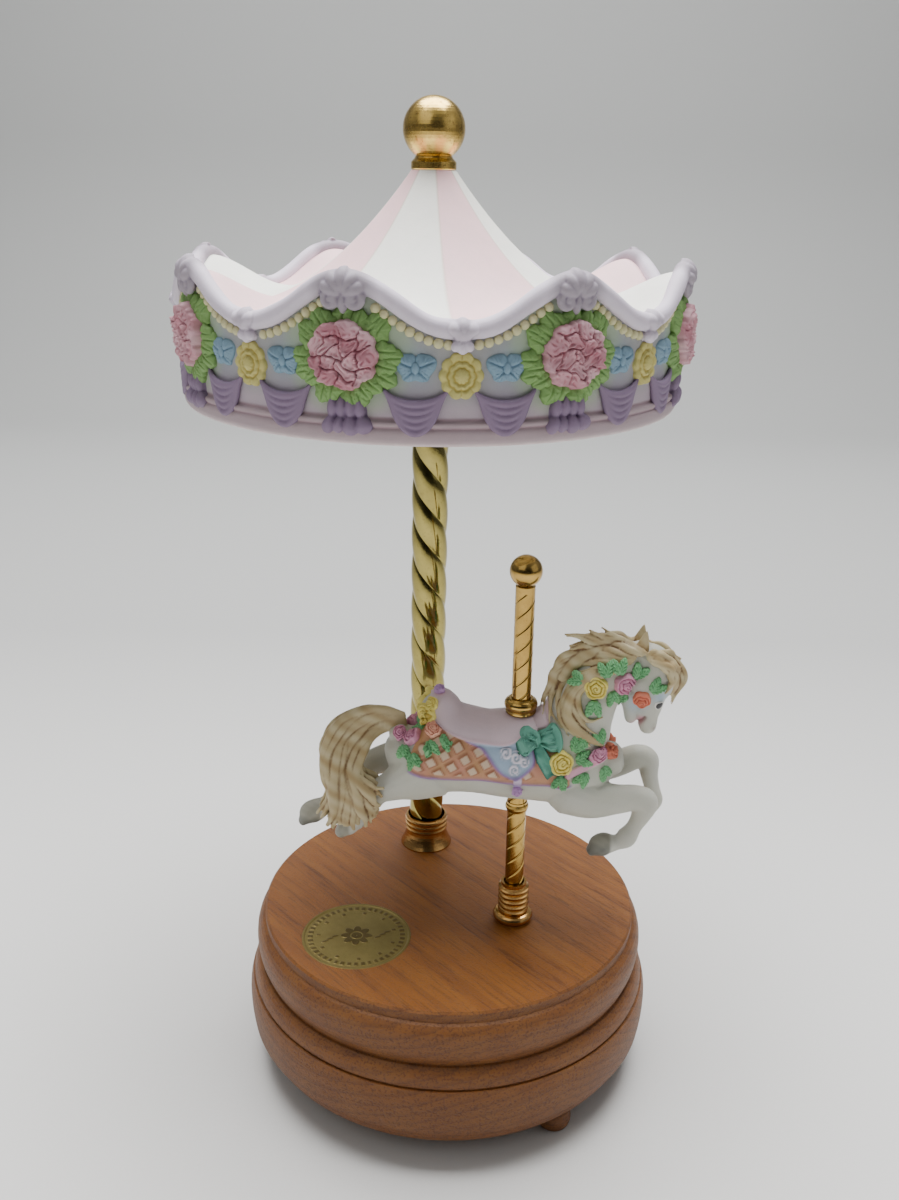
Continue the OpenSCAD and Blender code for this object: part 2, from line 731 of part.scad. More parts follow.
module horse() {
    torso = [[-30, 0, 65.5, 16.5], [-13, 0, 64.5, 13.8], [2, 0, 63, 15.2], [16, 0, 60.5, 15.5]];
    neck = [[15, 0, 70, 13], [26, 0, 86, 10.5], [37, 0, 96.5, 8]];
    head = [[37, 0, 96.5, 8], [45.5, 0, 90, 7], [43.5, 0, 76, 4.8]];
    mane = [[17, 0, 99, 4], [37, 0, 101, 5]];
    tail = [[-34, 0, 75, 5], [-49, 0, 72.5, 5.5], [-57, 0, 64, 7], [-59, 0, 54, 6.5], [-54, 0, 42, 6.5]];
    near_hind = [[-31, -6, 59, 11], [-41, -7, 49, 7], [-50, -7, 41, 4.5], [-55, -7, 37, 3.6]];
    far_hind = [[-33, 5, 60, 9], [-48, 6, 53, 5.5], [-60, 7, 44, 4], [-69, 7, 39, 3.4]];
    near_fore = [[20, -6, 52, 8], [42, -6.5, 49.5, 4.4], [45, -6.5, 45, 4], [36, -6.5, 33.5, 3],
        [28, -6.5, 29.5, 3.2]];
    far_fore = [[24, 5, 57, 7], [39, 6.5, 61.5, 4.4], [44.5, 6.5, 58, 4], [46.5, 6.5, 46, 3.2],
        [39, 6.5, 35, 3]];
    color("whitesmoke") at_horse() translate([0, 0, top_z]) difference() {
        union() {
            scale([1, 0.88, 1]) limb(torso, 24);
            scale([1, 0.72, 1]) limb(neck);
            scale([1, 0.75, 1]) limb(head);
            limb(mane);
            limb(tail);
            limb(near_hind);
            limb(far_hind);
            limb(near_fore);
            limb(far_fore);
        }
        translate([0, 0, 30]) cylinder(r = horse_pole_r + 0.15, h = 60);  // the rod's hole
    }
}

module horse_pole() {
    color(brass) at_horse() translate([0, 0, pole_tip_z])
        cylinder(r = horse_pole_r, h = horse_pole_top_z - pole_tip_z);
}

module horse_ball() {
    color(brass) at_horse() difference() {
        translate([0, 0, horse_ball_z]) sphere(r = horse_ball_r);
        translate([0, 0, horse_ball_z - 2 * horse_ball_r])
            cylinder(r = horse_pole_r, h = horse_ball_r + 0.4);
    }
}

module saddle_collar() {
    z = top_z + 78;
    color(brass) at_horse() turned(concat([[4, z]], arc(4.1, z + 0.9, 0.9, 0.75, -80, 50, 4),
        arc(3.9, z + 3.4, 1.55, 1.85, -50, 75, 6), [[3.9, z + 5.6]]), horse_pole_r);
}

module belly_collar() {
    z = top_z + 42.4;
    color(brass) at_horse() turned(concat([[3.45, z]], arc(3, z + 1.6, 0.9, 1.3, -50, 60, 4),
        [[3.4, z + 3.4]]), horse_pole_r);
}

// arm on the rod that slides on the guide pin and keeps the horse from turning
module guide_arm() {
    reach = guide_circle_r - horse_circle_r;
    color(steel) at_horse() rotate(horse_angle) translate([0, 0, pole_tip_z]) difference() {
        union() {
            cylinder(r = 4.6, h = arm_t);
            translate([0, -2.4, 0]) cube([reach, 4.8, arm_t]);
            translate([reach, 0, 0]) cylinder(r = 3, h = arm_t);
        }
        translate([0, 0, -cut]) cylinder(r = horse_pole_r, h = arm_t + 2 * cut);
        translate([reach, 0, -cut]) cylinder(r = guide_r + run_fit, h = arm_t + 2 * cut);
    }
}

module follower_shoe() {
    color(steel) at_horse() intersection() {
        translate([0, 0, pole_tip_z]) sphere(r = follower_r);
        translate([0, 0, pole_tip_z - 5]) cylinder(r = 5, h = 5);
    }
}

base_body();
bottom_cover();
cover_screws();
foot_1();
foot_2();
foot_3();
medallion();
pole_collar();
horse_collar();
pole_bushing();
horse_bushing();
spindle_bushing();
thrust_post();
guide_pin();
bedplate();
movement_screws();
comb();
comb_block();
comb_screws();
cylinder_brackets();
governor_frame();
ratchet_click();
twisted_pole();
pole_shaft();
canopy_gear();
canopy();
canopy_washer();
canopy_stud();
finial();
spring_barrel();
mainspring();
spindle();
drive_gear();
lift_cam();
music_cylinder();
cylinder_wheels();
governor_worm();
governor_fan();
winding_key();
winding_arbor();
ratchet_wheel();
horse();
horse_pole();
horse_ball();
saddle_collar();
belly_collar();
guide_arm();
follower_shoe();
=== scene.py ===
"""Looks for the carousel music box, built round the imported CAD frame.

Sizes are in millimetres and become metres when a mesh is made. The horse's own
numbers are measured from its pole's axis (x forward, y across, z above the base's top).
"""

import json
import math
import random
from types import SimpleNamespace

import bpy
import numpy as np
from mathutils import Matrix, Vector
from mathutils.bvhtree import BVHTree


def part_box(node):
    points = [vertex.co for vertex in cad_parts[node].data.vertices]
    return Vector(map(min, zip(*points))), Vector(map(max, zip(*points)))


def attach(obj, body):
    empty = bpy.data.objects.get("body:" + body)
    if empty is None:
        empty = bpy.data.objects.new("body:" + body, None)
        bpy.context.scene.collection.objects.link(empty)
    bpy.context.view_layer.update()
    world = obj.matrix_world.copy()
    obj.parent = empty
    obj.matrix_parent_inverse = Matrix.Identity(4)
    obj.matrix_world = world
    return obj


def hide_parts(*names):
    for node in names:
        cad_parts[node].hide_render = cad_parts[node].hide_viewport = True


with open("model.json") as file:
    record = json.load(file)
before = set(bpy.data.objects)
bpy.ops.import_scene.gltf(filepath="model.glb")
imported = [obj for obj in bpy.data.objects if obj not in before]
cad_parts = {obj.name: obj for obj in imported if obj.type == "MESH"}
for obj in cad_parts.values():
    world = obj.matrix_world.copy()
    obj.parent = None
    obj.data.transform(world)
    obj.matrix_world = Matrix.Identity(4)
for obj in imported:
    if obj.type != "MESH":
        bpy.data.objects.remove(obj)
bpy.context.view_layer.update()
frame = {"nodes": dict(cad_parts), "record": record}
MM = 0.001
TURN = 2 * np.pi
SIDES = (-1, 1)
rng = random.Random(7)


def middle(node):
    """Centre of a CAD node's box, in millimetres."""
    low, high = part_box(node)
    return np.array((low + high) / 2) / MM


def top_of(node):
    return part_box(node)[1].z / MM


def low_of(node):
    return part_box(node)[0].z / MM


TOP_Z = top_of("base_body")
POLE = middle("twisted_pole")
HORSE = middle("horse_pole")
CANOPY_LOW = low_of("canopy")
ROOF_TOP = low_of("finial")
SCALLOPS = 8
PERIOD = 360 / SCALLOPS
FIRST_PEAK = -105.4

# ---------------------------------------------------------------- colours


def srgb(r, g, b):
    """A colour given as 0-255 sRGB, as linear values."""
    return np.array([(c / 255 / 12.92) if c / 255 <= 0.04045 else ((c / 255 + 0.055) / 1.055) ** 2.4
                     for c in (r, g, b)])


WHITE = srgb(244, 244, 236)
# Painted shade: BISQUE is the roof's white porcelain (WHITE) set darker, and the horse's other colours and
# the canopy wall's and band's colours are lowered in the same way.
BISQUE = srgb(192, 192, 180)
BISQUE_GREY = srgb(196, 196, 194)
BISQUE_GROOVE = srgb(140, 126, 112)
ROOF_PINK = srgb(242, 204, 207)
LILAC = srgb(214, 204, 219)
LILAC_WORN = srgb(154, 145, 156)
LILAC_DARK = srgb(112, 98, 120)
WALL_GREY = srgb(158, 158, 160)
BAND_PINK = srgb(168, 150, 156)
LEAF_GREEN = srgb(120, 158, 90)
LEAF_DARK = srgb(58, 116, 40)
ROSE = srgb(180, 122, 134)
ROSE_PALE = srgb(208, 168, 176)
ROSE_DARK = srgb(170, 84, 104)
YELLOW = srgb(192, 184, 112)
YELLOW_DARK = srgb(176, 158, 78)
BLUE = srgb(124, 154, 174)
BLUE_DARK = srgb(66, 106, 138)
PURPLE = srgb(130, 111, 137)
PURPLE_DARK = srgb(84, 58, 98)
BEAD = srgb(206, 202, 156)
BEAD_DARK = srgb(170, 158, 104)
HAIR = srgb(196, 184, 146)
HAIR_TAN = srgb(160, 134, 88)
HAIR_DARK = srgb(104, 70, 36)
HOOF = srgb(158, 156, 142)
HOOF_DARK = srgb(96, 98, 92)
SADDLE = srgb(208, 188, 196)
SADDLE_TRIM = srgb(190, 112, 140)
BLANKET = srgb(190, 146, 100)
BLANKET_WARM = srgb(200, 140, 118)
BLANKET_PALE = srgb(206, 182, 156)
BLANKET_LINE = srgb(158, 100, 70)
PIPING = srgb(140, 112, 168)
FLAP = srgb(162, 184, 206)
STRAP = srgb(204, 190, 216)
BREAST_STRAP = srgb(216, 158, 184)
MOTIF = srgb(232, 226, 238)
CHEEK_BLUE = srgb(150, 178, 200)
LIP_PINK = srgb(206, 136, 154)
MOUTH_DARK = srgb(120, 84, 84)
TEAL = srgb(100, 164, 144)
TEAL_DARK = srgb(44, 106, 92)
HORSE_GREEN = srgb(122, 190, 132)
HORSE_GREEN_DARK = srgb(58, 126, 66)
HORSE_ROSE = srgb(214, 150, 178)
HORSE_YELLOW = srgb(232, 218, 118)
HORSE_ORANGE = srgb(220, 126, 98)
PEACH = srgb(232, 172, 146)

# ---------------------------------------------------------------- mesh helpers


def round_angles(count):
    """Evenly spaced angles once round."""
    return np.linspace(0, TURN, count, endpoint=False)


def step(x, low, high):
    """0 up to low, 1 from high, and smooth between."""
    t = np.clip((np.asarray(x, float) - low) / (high - low), 0, 1)
    return t * t * (3 - 2 * t)


def bell(x, width):
    """A bump of height 1 at x = 0 that fades out past width."""
    return np.exp(-(x / width) ** 2)


def dome(rho, share):
    """A round cap: 1 at rho = 0 and lower outwards, down to 0 at rho = 1 where the share is 1."""
    return np.sqrt(np.clip(1 - share * rho ** 2, 0, 1))


def unit(v):
    return v / np.maximum(np.linalg.norm(v, axis=-1, keepdims=True), 1e-9)


def around(axis, r, a, z):
    """Points at radius r, angle a and height z round an upright axis."""
    return np.stack(np.broadcast_arrays(axis[0] + r * np.cos(a), axis[1] + r * np.sin(a), z), -1)


def from_axis(points, axis):
    """Angle and radius of points round an upright axis."""
    x, y = points[:, 0] - axis[0], points[:, 1] - axis[1]
    return np.arctan2(y, x), np.hypot(x, y)


def rows_to_faces(rows, cols):
    """Quads of a grid of rows x cols points that closes round its columns."""
    i, j = np.meshgrid(np.arange(rows - 1), np.arange(cols), indexing="ij")
    k = (j + 1) % cols
    return np.stack([i * cols + j, i * cols + k, (i + 1) * cols + k, (i + 1) * cols + j], -1).reshape(-1, 4)


def capped(rings):
    """A closed mesh from rings (rows, cols, 3), with a point at each end."""
    rows, cols = rings.shape[:2]
    points = np.vstack([rings.reshape(-1, 3), rings[0].mean(0), rings[-1].mean(0)])
    faces = rows_to_faces(rows, cols).tolist()
    first, last = rows * cols, (rows - 1) * cols
    for j in range(cols):
        k = (j + 1) % cols
        faces += [[first, k, j], [first + 1, last + j, last + k]]
    return points, faces


def looped(rings):
    """A closed mesh from rings that also close from the last to the first."""
    rows, cols = rings.shape[:2]
    return rings.reshape(-1, 3), (rows_to_faces(rows + 1, cols) % (rows * cols)).tolist()


def merged(parts):
    points, faces, start = [], [], 0
    for p, f in parts:
        points.append(np.asarray(p, float))
        faces.extend([[v + start for v in face] for face in f])
        start += len(p)
    return np.vstack(points), faces


def smooth_path(points, count):
    """A Catmull-Rom curve through the points, in any number of dimensions."""
    p = np.array(points, float)
    p = np.vstack([2 * p[0] - p[1], p, 2 * p[-1] - p[-2]])
    spans = len(p) - 3
    out = []
    for t in np.linspace(0, spans - 1e-6, count):
        i = int(t)
        u = t - i
        a, b, c, d = p[i:i + 4]
        out.append(0.5 * (2 * b + (c - a) * u + (2 * a - 5 * b + 4 * c - d) * u * u
                          + (3 * b - a - 3 * c + d) * u ** 3))
    return np.array(out)


def sweep(path, thick, wide, sides=14, side=(0, 1, 0)):
    """A closed, round-ended tube: thick is its half size square to side, wide its half size along side."""
    path, thick, wide, side = (np.array(v, float) for v in (path, thick, wide, side))
    reach, shrink = np.array([0.85, 0.6]), np.array([0.45, 0.8])
    head = path[0] + unit(path[0] - path[1]) * np.outer(reach, [min(thick[0], wide[0])] * 3)
    tail = path[-1] + unit(path[-1] - path[-2]) * np.outer(reach[::-1], [min(thick[-1], wide[-1])] * 3)
    path = np.vstack([head, path, tail])
    thick, wide = (np.concatenate([v[0] * shrink, v, v[-1] * shrink[::-1]]) for v in (thick, wide))
    tangent = unit(np.gradient(path, axis=0))
    lateral = unit(side - tangent * (tangent @ side)[:, None])
    normal = np.cross(lateral, tangent)
    phi = round_angles(sides)[None, :, None]
    return capped(path[:, None] + normal[:, None] * (np.cos(phi) * thick[:, None, None])
                  + lateral[:, None] * (np.sin(phi) * wide[:, None, None]))


def limb(stations, count=24, sides=20):
    """A rounded limb through (x, y, z, half thickness, half width) stations."""
    s = smooth_path(stations, count)
    return sweep(s[:, :3], s[:, 3], s[:, 4], sides)


def ball(centre, radii, rows=10, cols=14):
    theta = np.linspace(0.12, np.pi - 0.12, rows)[:, None]
    sphere = around((0, 0), np.sin(theta), round_angles(cols), np.cos(theta))
    return capped((sphere * np.array(radii, float) + np.array(centre, float))[::-1])


def pad(edge, height, rings=7, sink=1.4):
    """A closed relief: edge is its outline (n, 2) round the origin, height(x, y, rho, phi) its face."""
    edge = np.array(edge, float)
    rho = np.linspace(1, 0.06, rings)
    flat = edge[None] * rho[:, None, None]
    phi = np.arctan2(edge[:, 1], edge[:, 0])[None].repeat(rings, 0)
    w = height(flat[..., 0], flat[..., 1], rho[:, None].repeat(len(edge), 1), phi)
    face = np.concatenate([flat, w[..., None]], -1)
    skirt = np.concatenate([edge, np.full((len(edge), 1), -sink)], -1)[None]
    return capped(np.concatenate([skirt, face], 0))


def outline(a, rx, ry):
    """Points of an oval at the angles a; its half sizes may change with the angle."""
    return np.stack([rx * np.cos(a), ry * np.sin(a)], -1)


def oval(rx, ry, count=24, lobes=0, depth=0.0):
    """An oval with lobes of the given depth round its edge."""
    a = round_angles(count)
    r = 1 - depth + depth * np.abs(np.cos(a * lobes / 2))
    return outline(a, rx * r, ry * r)


def moved(part, shift=(0, 0, 0), turn=0.0):
    """A part turned about its own third axis by turn degrees, then shifted."""
    points, faces = part
    c, s = math.cos(math.radians(turn)), math.sin(math.radians(turn))
    x, y, z = np.array(points).T
    return np.stack([x * c - y * s, x * s + y * c, z], -1) + np.array(shift, float), faces


def make_mesh(name, part):
    mesh = bpy.data.meshes.new(name)
    points, faces = part
    mesh.from_pydata((np.asarray(points) * MM).tolist(), [], faces)
    mesh.validate()
    return mesh


def linked(name, data):
    """A new object in the scene."""
    obj = bpy.data.objects.new(name, data)
    bpy.context.scene.collection.objects.link(obj)
    return obj


def smooth_object(name, part, mat):
    """A smooth-shaded object with one material."""
    obj = linked(name, make_mesh(name, part))
    obj.data.polygons.foreach_set("use_smooth", [True] * len(obj.data.polygons))
    obj.data.materials.append(mat)
    return obj


def piece(name, part, body, mat):
    """A finished piece that rides on a body."""
    obj = smooth_object(name, part, mat)
    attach(obj, body)
    return obj


def fused(parts, voxel, smooth=0):
    """The parts as one skin: a voxel remesh, smoothed, as a new part in millimetres."""
    obj = linked("fusing", make_mesh("fusing", merged(parts)))
    remesh = obj.modifiers.new("remesh", "REMESH")
    remesh.mode = "VOXEL"
    remesh.voxel_size = voxel * MM
    if smooth:
        soften = obj.modifiers.new("soften", "SMOOTH")
        soften.factor = 0.5
        soften.iterations = smooth
    mesh = bpy.data.meshes.new_from_object(obj.evaluated_get(bpy.context.evaluated_depsgraph_get()))
    skinned = points_of(mesh), [list(p.vertices) for p in mesh.polygons]
    bpy.data.objects.remove(obj)
    bpy.data.meshes.remove(mesh)
    return skinned


def read(items, field, width, kind=float):
    """A field of a mesh's vertices or edges, as rows of width numbers."""
    values = np.empty(len(items) * width, kind)
    items.foreach_get(field, values)
    return values.reshape(-1, width)


def points_of(mesh):
    return read(mesh.vertices, "co", 3) / MM


def averaged(values, edges, rounds):
    """values at each vertex, averaged with its neighbours several times."""
    count = np.bincount(edges.ravel(), minlength=len(values)).astype(float)[:, None]
    v = values.copy()
    for _ in range(rounds):
        total = np.zeros_like(v)
        np.add.at(total, edges[:, 0], v[edges[:, 1]])
        np.add.at(total, edges[:, 1], v[edges[:, 0]])
        v = 0.5 * v + 0.5 * total / np.maximum(count, 1)
    return v


def crease(obj, rounds=8, depth=0.25):
    """How deep each vertex lies in a groove, from 0 to 1."""
    mesh = obj.data
    p = points_of(mesh)
    inward = averaged(p, read(mesh.edges, "vertices", 2, int), rounds) - p
    return np.clip((inward * read(mesh.vertices, "normal", 3)).sum(1) / depth, 0, 1)


def paint(obj, colours):
    """Writes one linear colour per vertex, for the painted bisque."""
    layer = obj.data.color_attributes.new("paint", "FLOAT_COLOR", "POINT")
    rgba = np.ones((len(obj.data.vertices), 4))
    rgba[:, :3] = colours
    layer.data.foreach_set("color", rgba.ravel())
    obj.data.color_attributes.active_color = layer


def mixed(a, b, t):
    t = np.clip(np.asarray(t, float), 0, 1)[..., None]
    return a * (1 - t) + b * t


def layered(colour, *layers):
    """A colour under further layers, each a colour and how much it covers."""
    for over, amount in layers:
        colour = mixed(colour, over, amount)
    return colour


def two_tone(obj, light, dark, depth, rounds):
    """The light colour, with the dark one laid into the grooves as painted shade."""
    paint(obj, mixed(light, dark, crease(obj, rounds, depth)))


# ---------------------------------------------------------------- materials


class Graph:
    """A short way to wire the nodes of a material, or of the world."""

    def __init__(self, name, kind="materials", shader="Principled BSDF"):
        self.owner = getattr(bpy.data, kind).new(name)
        self.owner.use_nodes = True
        self.tree = self.owner.node_tree
        self.shader = self.tree.nodes[shader]

    def node(self, kind, **values):
        """A new node; names that aren't its own attributes are its inputs."""
        n = self.tree.nodes.new(kind)
        for key, value in values.items():
            if hasattr(n, key):
                setattr(n, key, value)
            else:
                self.put(n.inputs[key.replace("_", " ")], value)
        return n

    def put(self, socket, value):
        if isinstance(value, bpy.types.NodeSocket):
            self.tree.links.new(value, socket)
        elif hasattr(value, "__len__") and len(value) == 3 and socket.type == "RGBA":
            socket.default_value = (*value, 1)
        else:
            socket.default_value = value

    def coords(self, scale=(1, 1, 1), turn=(0, 0, 0)):
        place = self.node("ShaderNodeTexCoord").outputs["Object"]
        return self.node("ShaderNodeMapping", Vector=place, Scale=scale, Rotation=turn).outputs["Vector"]

    def xyz(self, vector):
        return self.node("ShaderNodeSeparateXYZ", Vector=vector).outputs

    def painted(self):
        """The colour that paint() wrote on the mesh."""
        return self.node("ShaderNodeAttribute", attribute_name="paint").outputs["Color"]

    def noise(self, vector, scale, detail=3.0, rough=0.5, distort=0.0):
        return self.node("ShaderNodeTexNoise", Vector=vector, Scale=scale, Detail=detail, Roughness=rough,
                         Distortion=distort).outputs["Fac"]

    def ramp(self, value, stops):
        n = self.node("ShaderNodeValToRGB", Fac=value)
        while len(n.color_ramp.elements) < len(stops):
            n.color_ramp.elements.new(0.5)
        for element, (at, colour) in zip(n.color_ramp.elements, stops):
            element.position = at
            element.color = (*(colour if hasattr(colour, "__len__") else (colour,) * 3), 1)
        return n.outputs["Color"]

    def mix(self, factor, a, b, mode="MIX"):
        n = self.node("ShaderNodeMix", data_type="RGBA", blend_type=mode)
        for index, value in ((0, factor), (6, a), (7, b)):
            self.put(n.inputs[index], value)
        return n.outputs[2]

    def times_colour(self, a, b):
        return self.mix(1.0, a, b, "MULTIPLY")

    def calc(self, operation, *values):
        n = self.node("ShaderNodeMath", operation=operation)
        for socket, value in zip(n.inputs, values):
            self.put(socket, value)
        return n.outputs[0]

    def times(self, a, b):
        return self.calc("MULTIPLY", a, b)

    def plus(self, a, b):
        return self.calc("ADD", a, b)

    def bump(self, height, strength, distance, under=None):
        """A bump map, on top of the one under it."""
        n = self.node("ShaderNodeBump", Height=height, Strength=strength, Distance=distance)
        if under is not None:
            self.put(n.inputs["Normal"], under)
        return n.outputs["Normal"]

    def set(self, **values):
        for key, value in values.items():
            self.put(self.shader.inputs[key.replace("_", " ")], value)
        return self.owner


def bisque_material(name, roughness, mottling):
    """Painted, unglazed porcelain; its colours come from the mesh's paint."""
    g = Graph(name)
    place = g.coords()
    cloud, speck = g.noise(place, 170, 4, 0.6), g.noise(place, 1900, 2, 0.7)
    tone = g.times_colour(g.painted(), g.ramp(cloud, [(0.3, 1 - mottling), (0.7, 1.0)]))
    tone = g.times_colour(tone, g.ramp(speck, [(0.2, 0.93), (0.45, 1.0)]))
    rough = g.calc("MULTIPLY_ADD", cloud, 0.12, roughness - 0.06)
    normal = g.bump(speck, 0.12, 0.0003, g.bump(cloud, 0.12, 0.0006))
    g.set(Base_Color=tone, Roughness=rough, Normal=normal, Specular_IOR_Level=0.4)
    return g.set(Subsurface_Weight=0.06, Subsurface_Radius=(0.0012, 0.0008, 0.0006), Subsurface_Scale=1.0)


def brass_material(name, colour, tarnish, roughness, wear=0.35, spotting=0.35):
    """Lacquered brass with faint polishing marks, spots and slight ripples."""
    g = Graph(name)
    place = g.coords()
    patch = g.noise(place, 95, 5, 0.65, 0.4)
    spots = g.ramp(g.noise(place, 720, 4, 0.75), [(0.34, 1.0), (0.44, 0.0)])
    marks = g.noise(g.coords(scale=(1, 1, 0.06)), 2600, 2, 0.6)
    tone = g.mix(g.ramp(patch, [(0.42, 0.0), (0.75, wear)]), colour, tarnish)
    tone = g.mix(g.times(spots, spotting), tone, tarnish)
    rough = g.calc("MULTIPLY_ADD", patch, 0.16, roughness - 0.06)
    normal = g.bump(patch, 0.10, 0.0006, g.bump(marks, 0.05, 0.0001))
    return g.set(Base_Color=tone, Roughness=rough, Normal=normal, Metallic=1.0)


def steel_material(name, colour, roughness=0.3):
    g = Graph(name)
    patch = g.noise(g.coords(scale=(1, 8, 1)), 260, 4, 0.6)
    tone = g.mix(g.ramp(patch, [(0.35, 0.0), (0.75, 0.5)]), colour, colour * 0.6)
    rough = g.calc("MULTIPLY_ADD", patch, 0.2, roughness - 0.1)
    return g.set(Base_Color=tone, Roughness=rough, Normal=g.bump(patch, 0.08, 0.0003), Metallic=1.0)


def plain_material(name, light, dark, scale, roughness, bump):
    """A moulded, felted or pressed surface with a fine grain."""
    g = Graph(name)
    grain = g.noise(g.coords(), scale, 5, 0.65)
    tone = g.mix(g.ramp(grain, [(0.3, 0.0), (0.7, 1.0)]), dark, light)
    return g.set(Base_Color=tone, Roughness=roughness, Normal=g.bump(grain, bump, 0.0005))


GRAIN_TURN = math.radians(48.5)
RING_AXIS = (0.015, 0.055)
RINGS_PER_METRE = 300


def growth_rings(g, grain):
    """1 in the porous early wood of each ring, round an axis below the base."""
    place = g.xyz(grain)
    across, depth = g.plus(place["Y"], RING_AXIS[0]), g.plus(place["Z"], RING_AXIS[1])
    radius = g.calc("SQRT", g.plus(g.times(across, across), g.times(depth, depth)))
    wander = g.times(g.noise(grain, 22, 3, 0.5), 3.6)
    phase = g.calc("FRACT", g.plus(g.times(radius, RINGS_PER_METRE), wander))
    return g.ramp(phase, [(0.0, 1.0), (0.22, 0.45), (0.5, 0.0), (0.97, 0.05)])


def turned_side(g, grain):
    """1 on the turned side and 0 on the flat top."""
    facing = g.xyz(g.node("ShaderNodeNewGeometry").outputs["Normal"])["Z"]
    slant = g.ramp(g.calc("ABSOLUTE", facing), [(0.60, 1.0), (0.95, 0.0)])
    under = g.ramp(g.xyz(grain)["Z"], [((TOP_Z - 1.2) * MM, 1.0), ((TOP_Z - 0.6) * MM, 0.0)])
    return g.calc("MAXIMUM", slant, under)


def oak_material():
    """Solid oak: growth rings, open pores drawn out along the grain, and a worn satin varnish."""
    g = Graph("oak")
    place = g.coords()
    turned_place = g.coords(turn=(0, 0, GRAIN_TURN))
    grain = g.node("ShaderNodeMapping", Vector=turned_place, Scale=(0.05, 1, 1)).outputs["Vector"]
    early, side = growth_rings(g, grain), turned_side(g, grain)
    pore = g.ramp(g.noise(grain, 1500, 1, 0.5), [(0.57, 0.0), (0.60, 1.0)])
    pore = g.times(pore, g.plus(g.times(early, 0.5), 0.5))
    end_pore = g.ramp(g.noise(place, 1300, 2, 0.6), [(0.54, 0.0), (0.60, 1.0)])
    cut = g.mix(g.times(side, 0.75), pore, end_pore)
    streak = g.noise(grain, 260, 4, 0.6)
    worn = g.ramp(g.noise(place, 75, 5, 0.7), [(0.45, 0.0), (0.70, 0.6)])
    light = g.ramp(streak, [(0.25, srgb(130, 74, 20)), (0.5, srgb(146, 88, 26)), (0.8, srgb(162, 104, 36))])
    ringed = g.mix(g.times(early, 0.38), light, srgb(108, 58, 18))
    cloud = g.ramp(g.noise(place, 34, 3, 0.5), [(0.35, 0.0), (0.75, 0.3)])
    top = g.mix(cloud, ringed, srgb(122, 66, 20))
    turned = g.mix(g.times(early, 0.6), srgb(112, 66, 20), srgb(80, 43, 15))
    turned = g.mix(g.times(worn, 0.5), turned, srgb(134, 92, 42))
    tone = g.mix(g.times(cut, 0.8), g.mix(g.times(side, 0.9), top, turned), srgb(76, 40, 14))
    fuzz = g.times(g.noise(place, 640, 4, 0.7), side)
    height = g.plus(g.calc("SUBTRACT", g.times(streak, 0.25), cut), fuzz)
    rough = g.calc("MULTIPLY_ADD", side, 0.16, 0.40)
    g.set(Base_Color=tone, Roughness=rough, Normal=g.bump(height, 0.55, 0.0004))
    return g.set(Coat_Weight=0.12, Coat_Roughness=0.35, Specular_IOR_Level=0.4)


GOLD = brass_material("gold_brass", srgb(178, 146, 80), srgb(100, 70, 32), 0.17)
BALL_BRASS = brass_material("ball_brass", srgb(212, 180, 100), srgb(104, 72, 28), 0.24, 0.5, 0.75)
COLLAR_BRASS = brass_material("collar_brass", srgb(204, 160, 98), srgb(120, 78, 36), 0.20, 0.5)
POLE_BRASS = brass_material("pole_brass", srgb(160, 148, 86), srgb(84, 70, 34), 0.10, 0.3)
SHOP_BRASS = brass_material("shop_brass", srgb(204, 172, 96), srgb(140, 108, 52), 0.3)
KEY_BRASS = brass_material("key_brass", srgb(208, 172, 98), srgb(132, 98, 46), 0.26)
STEEL = steel_material("movement_steel", srgb(176, 178, 182))
IRON = steel_material("movement_iron", srgb(96, 96, 100), 0.5)
OAK = oak_material()
HARDBOARD = plain_material("hardboard", srgb(112, 80, 52), srgb(76, 52, 34), 1400, 0.75, 0.3)
FELT = plain_material("felt", srgb(190, 180, 158), srgb(150, 138, 116), 2400, 0.95, 0.6)
CAM = plain_material("cam_plastic", srgb(226, 222, 206), srgb(206, 200, 182), 500, 0.42, 0.08)
BISQUES = {
    "canopy": bisque_material("canopy_bisque", 0.6, 0.06),
    "horse": bisque_material("horse_bisque", 0.5, 0.05),
}

NODE_LOOKS = {
    "oak": OAK, "hardboard": HARDBOARD, "polished_brass": GOLD, "medallion_brass": SHOP_BRASS,
    "screw_brass": SHOP_BRASS, "key_brass": KEY_BRASS, "movement_brass": SHOP_BRASS,
    "movement_steel": STEEL, "movement_iron": IRON, "cam_plastic": CAM, "felt": FELT,
    "bisque_canopy": BISQUES["canopy"], "bisque_horse": BISQUES["horse"],
}
BRASS_NODES = {"finial": BALL_BRASS, "pole_collar": COLLAR_BRASS, "horse_collar": COLLAR_BRASS}
for part_row in frame["record"]["subparts"]:
    node_mesh = frame["nodes"][part_row["node"]].data
    node_mesh.materials.clear()
    node_mesh.materials.append(BRASS_NODES.get(part_row["node"], NODE_LOOKS[part_row["material_slot"]]))


def bisque_piece(name, part, body):
    """A piece of the canopy's or the horse's porcelain."""
    return piece(name, part, body, BISQUES[body])


# ---------------------------------------------------------------- poles and medallion


def rope_pole():
    """Three round strands twisted left-handed, with sharp valleys between them."""
    low, high = low_of("twisted_pole"), top_of("twisted_pole")
    core, crown, strands, pitch = 5.62, 0.72, 3, 41.0
    z = np.linspace(low, high, 480)[:, None]
    phi = round_angles(96)
    radius = core + crown * np.abs(np.sin(strands / 2 * phi)) ** 0.75
    return capped(around(POLE, radius, phi - TURN * (z - low) / pitch, z))


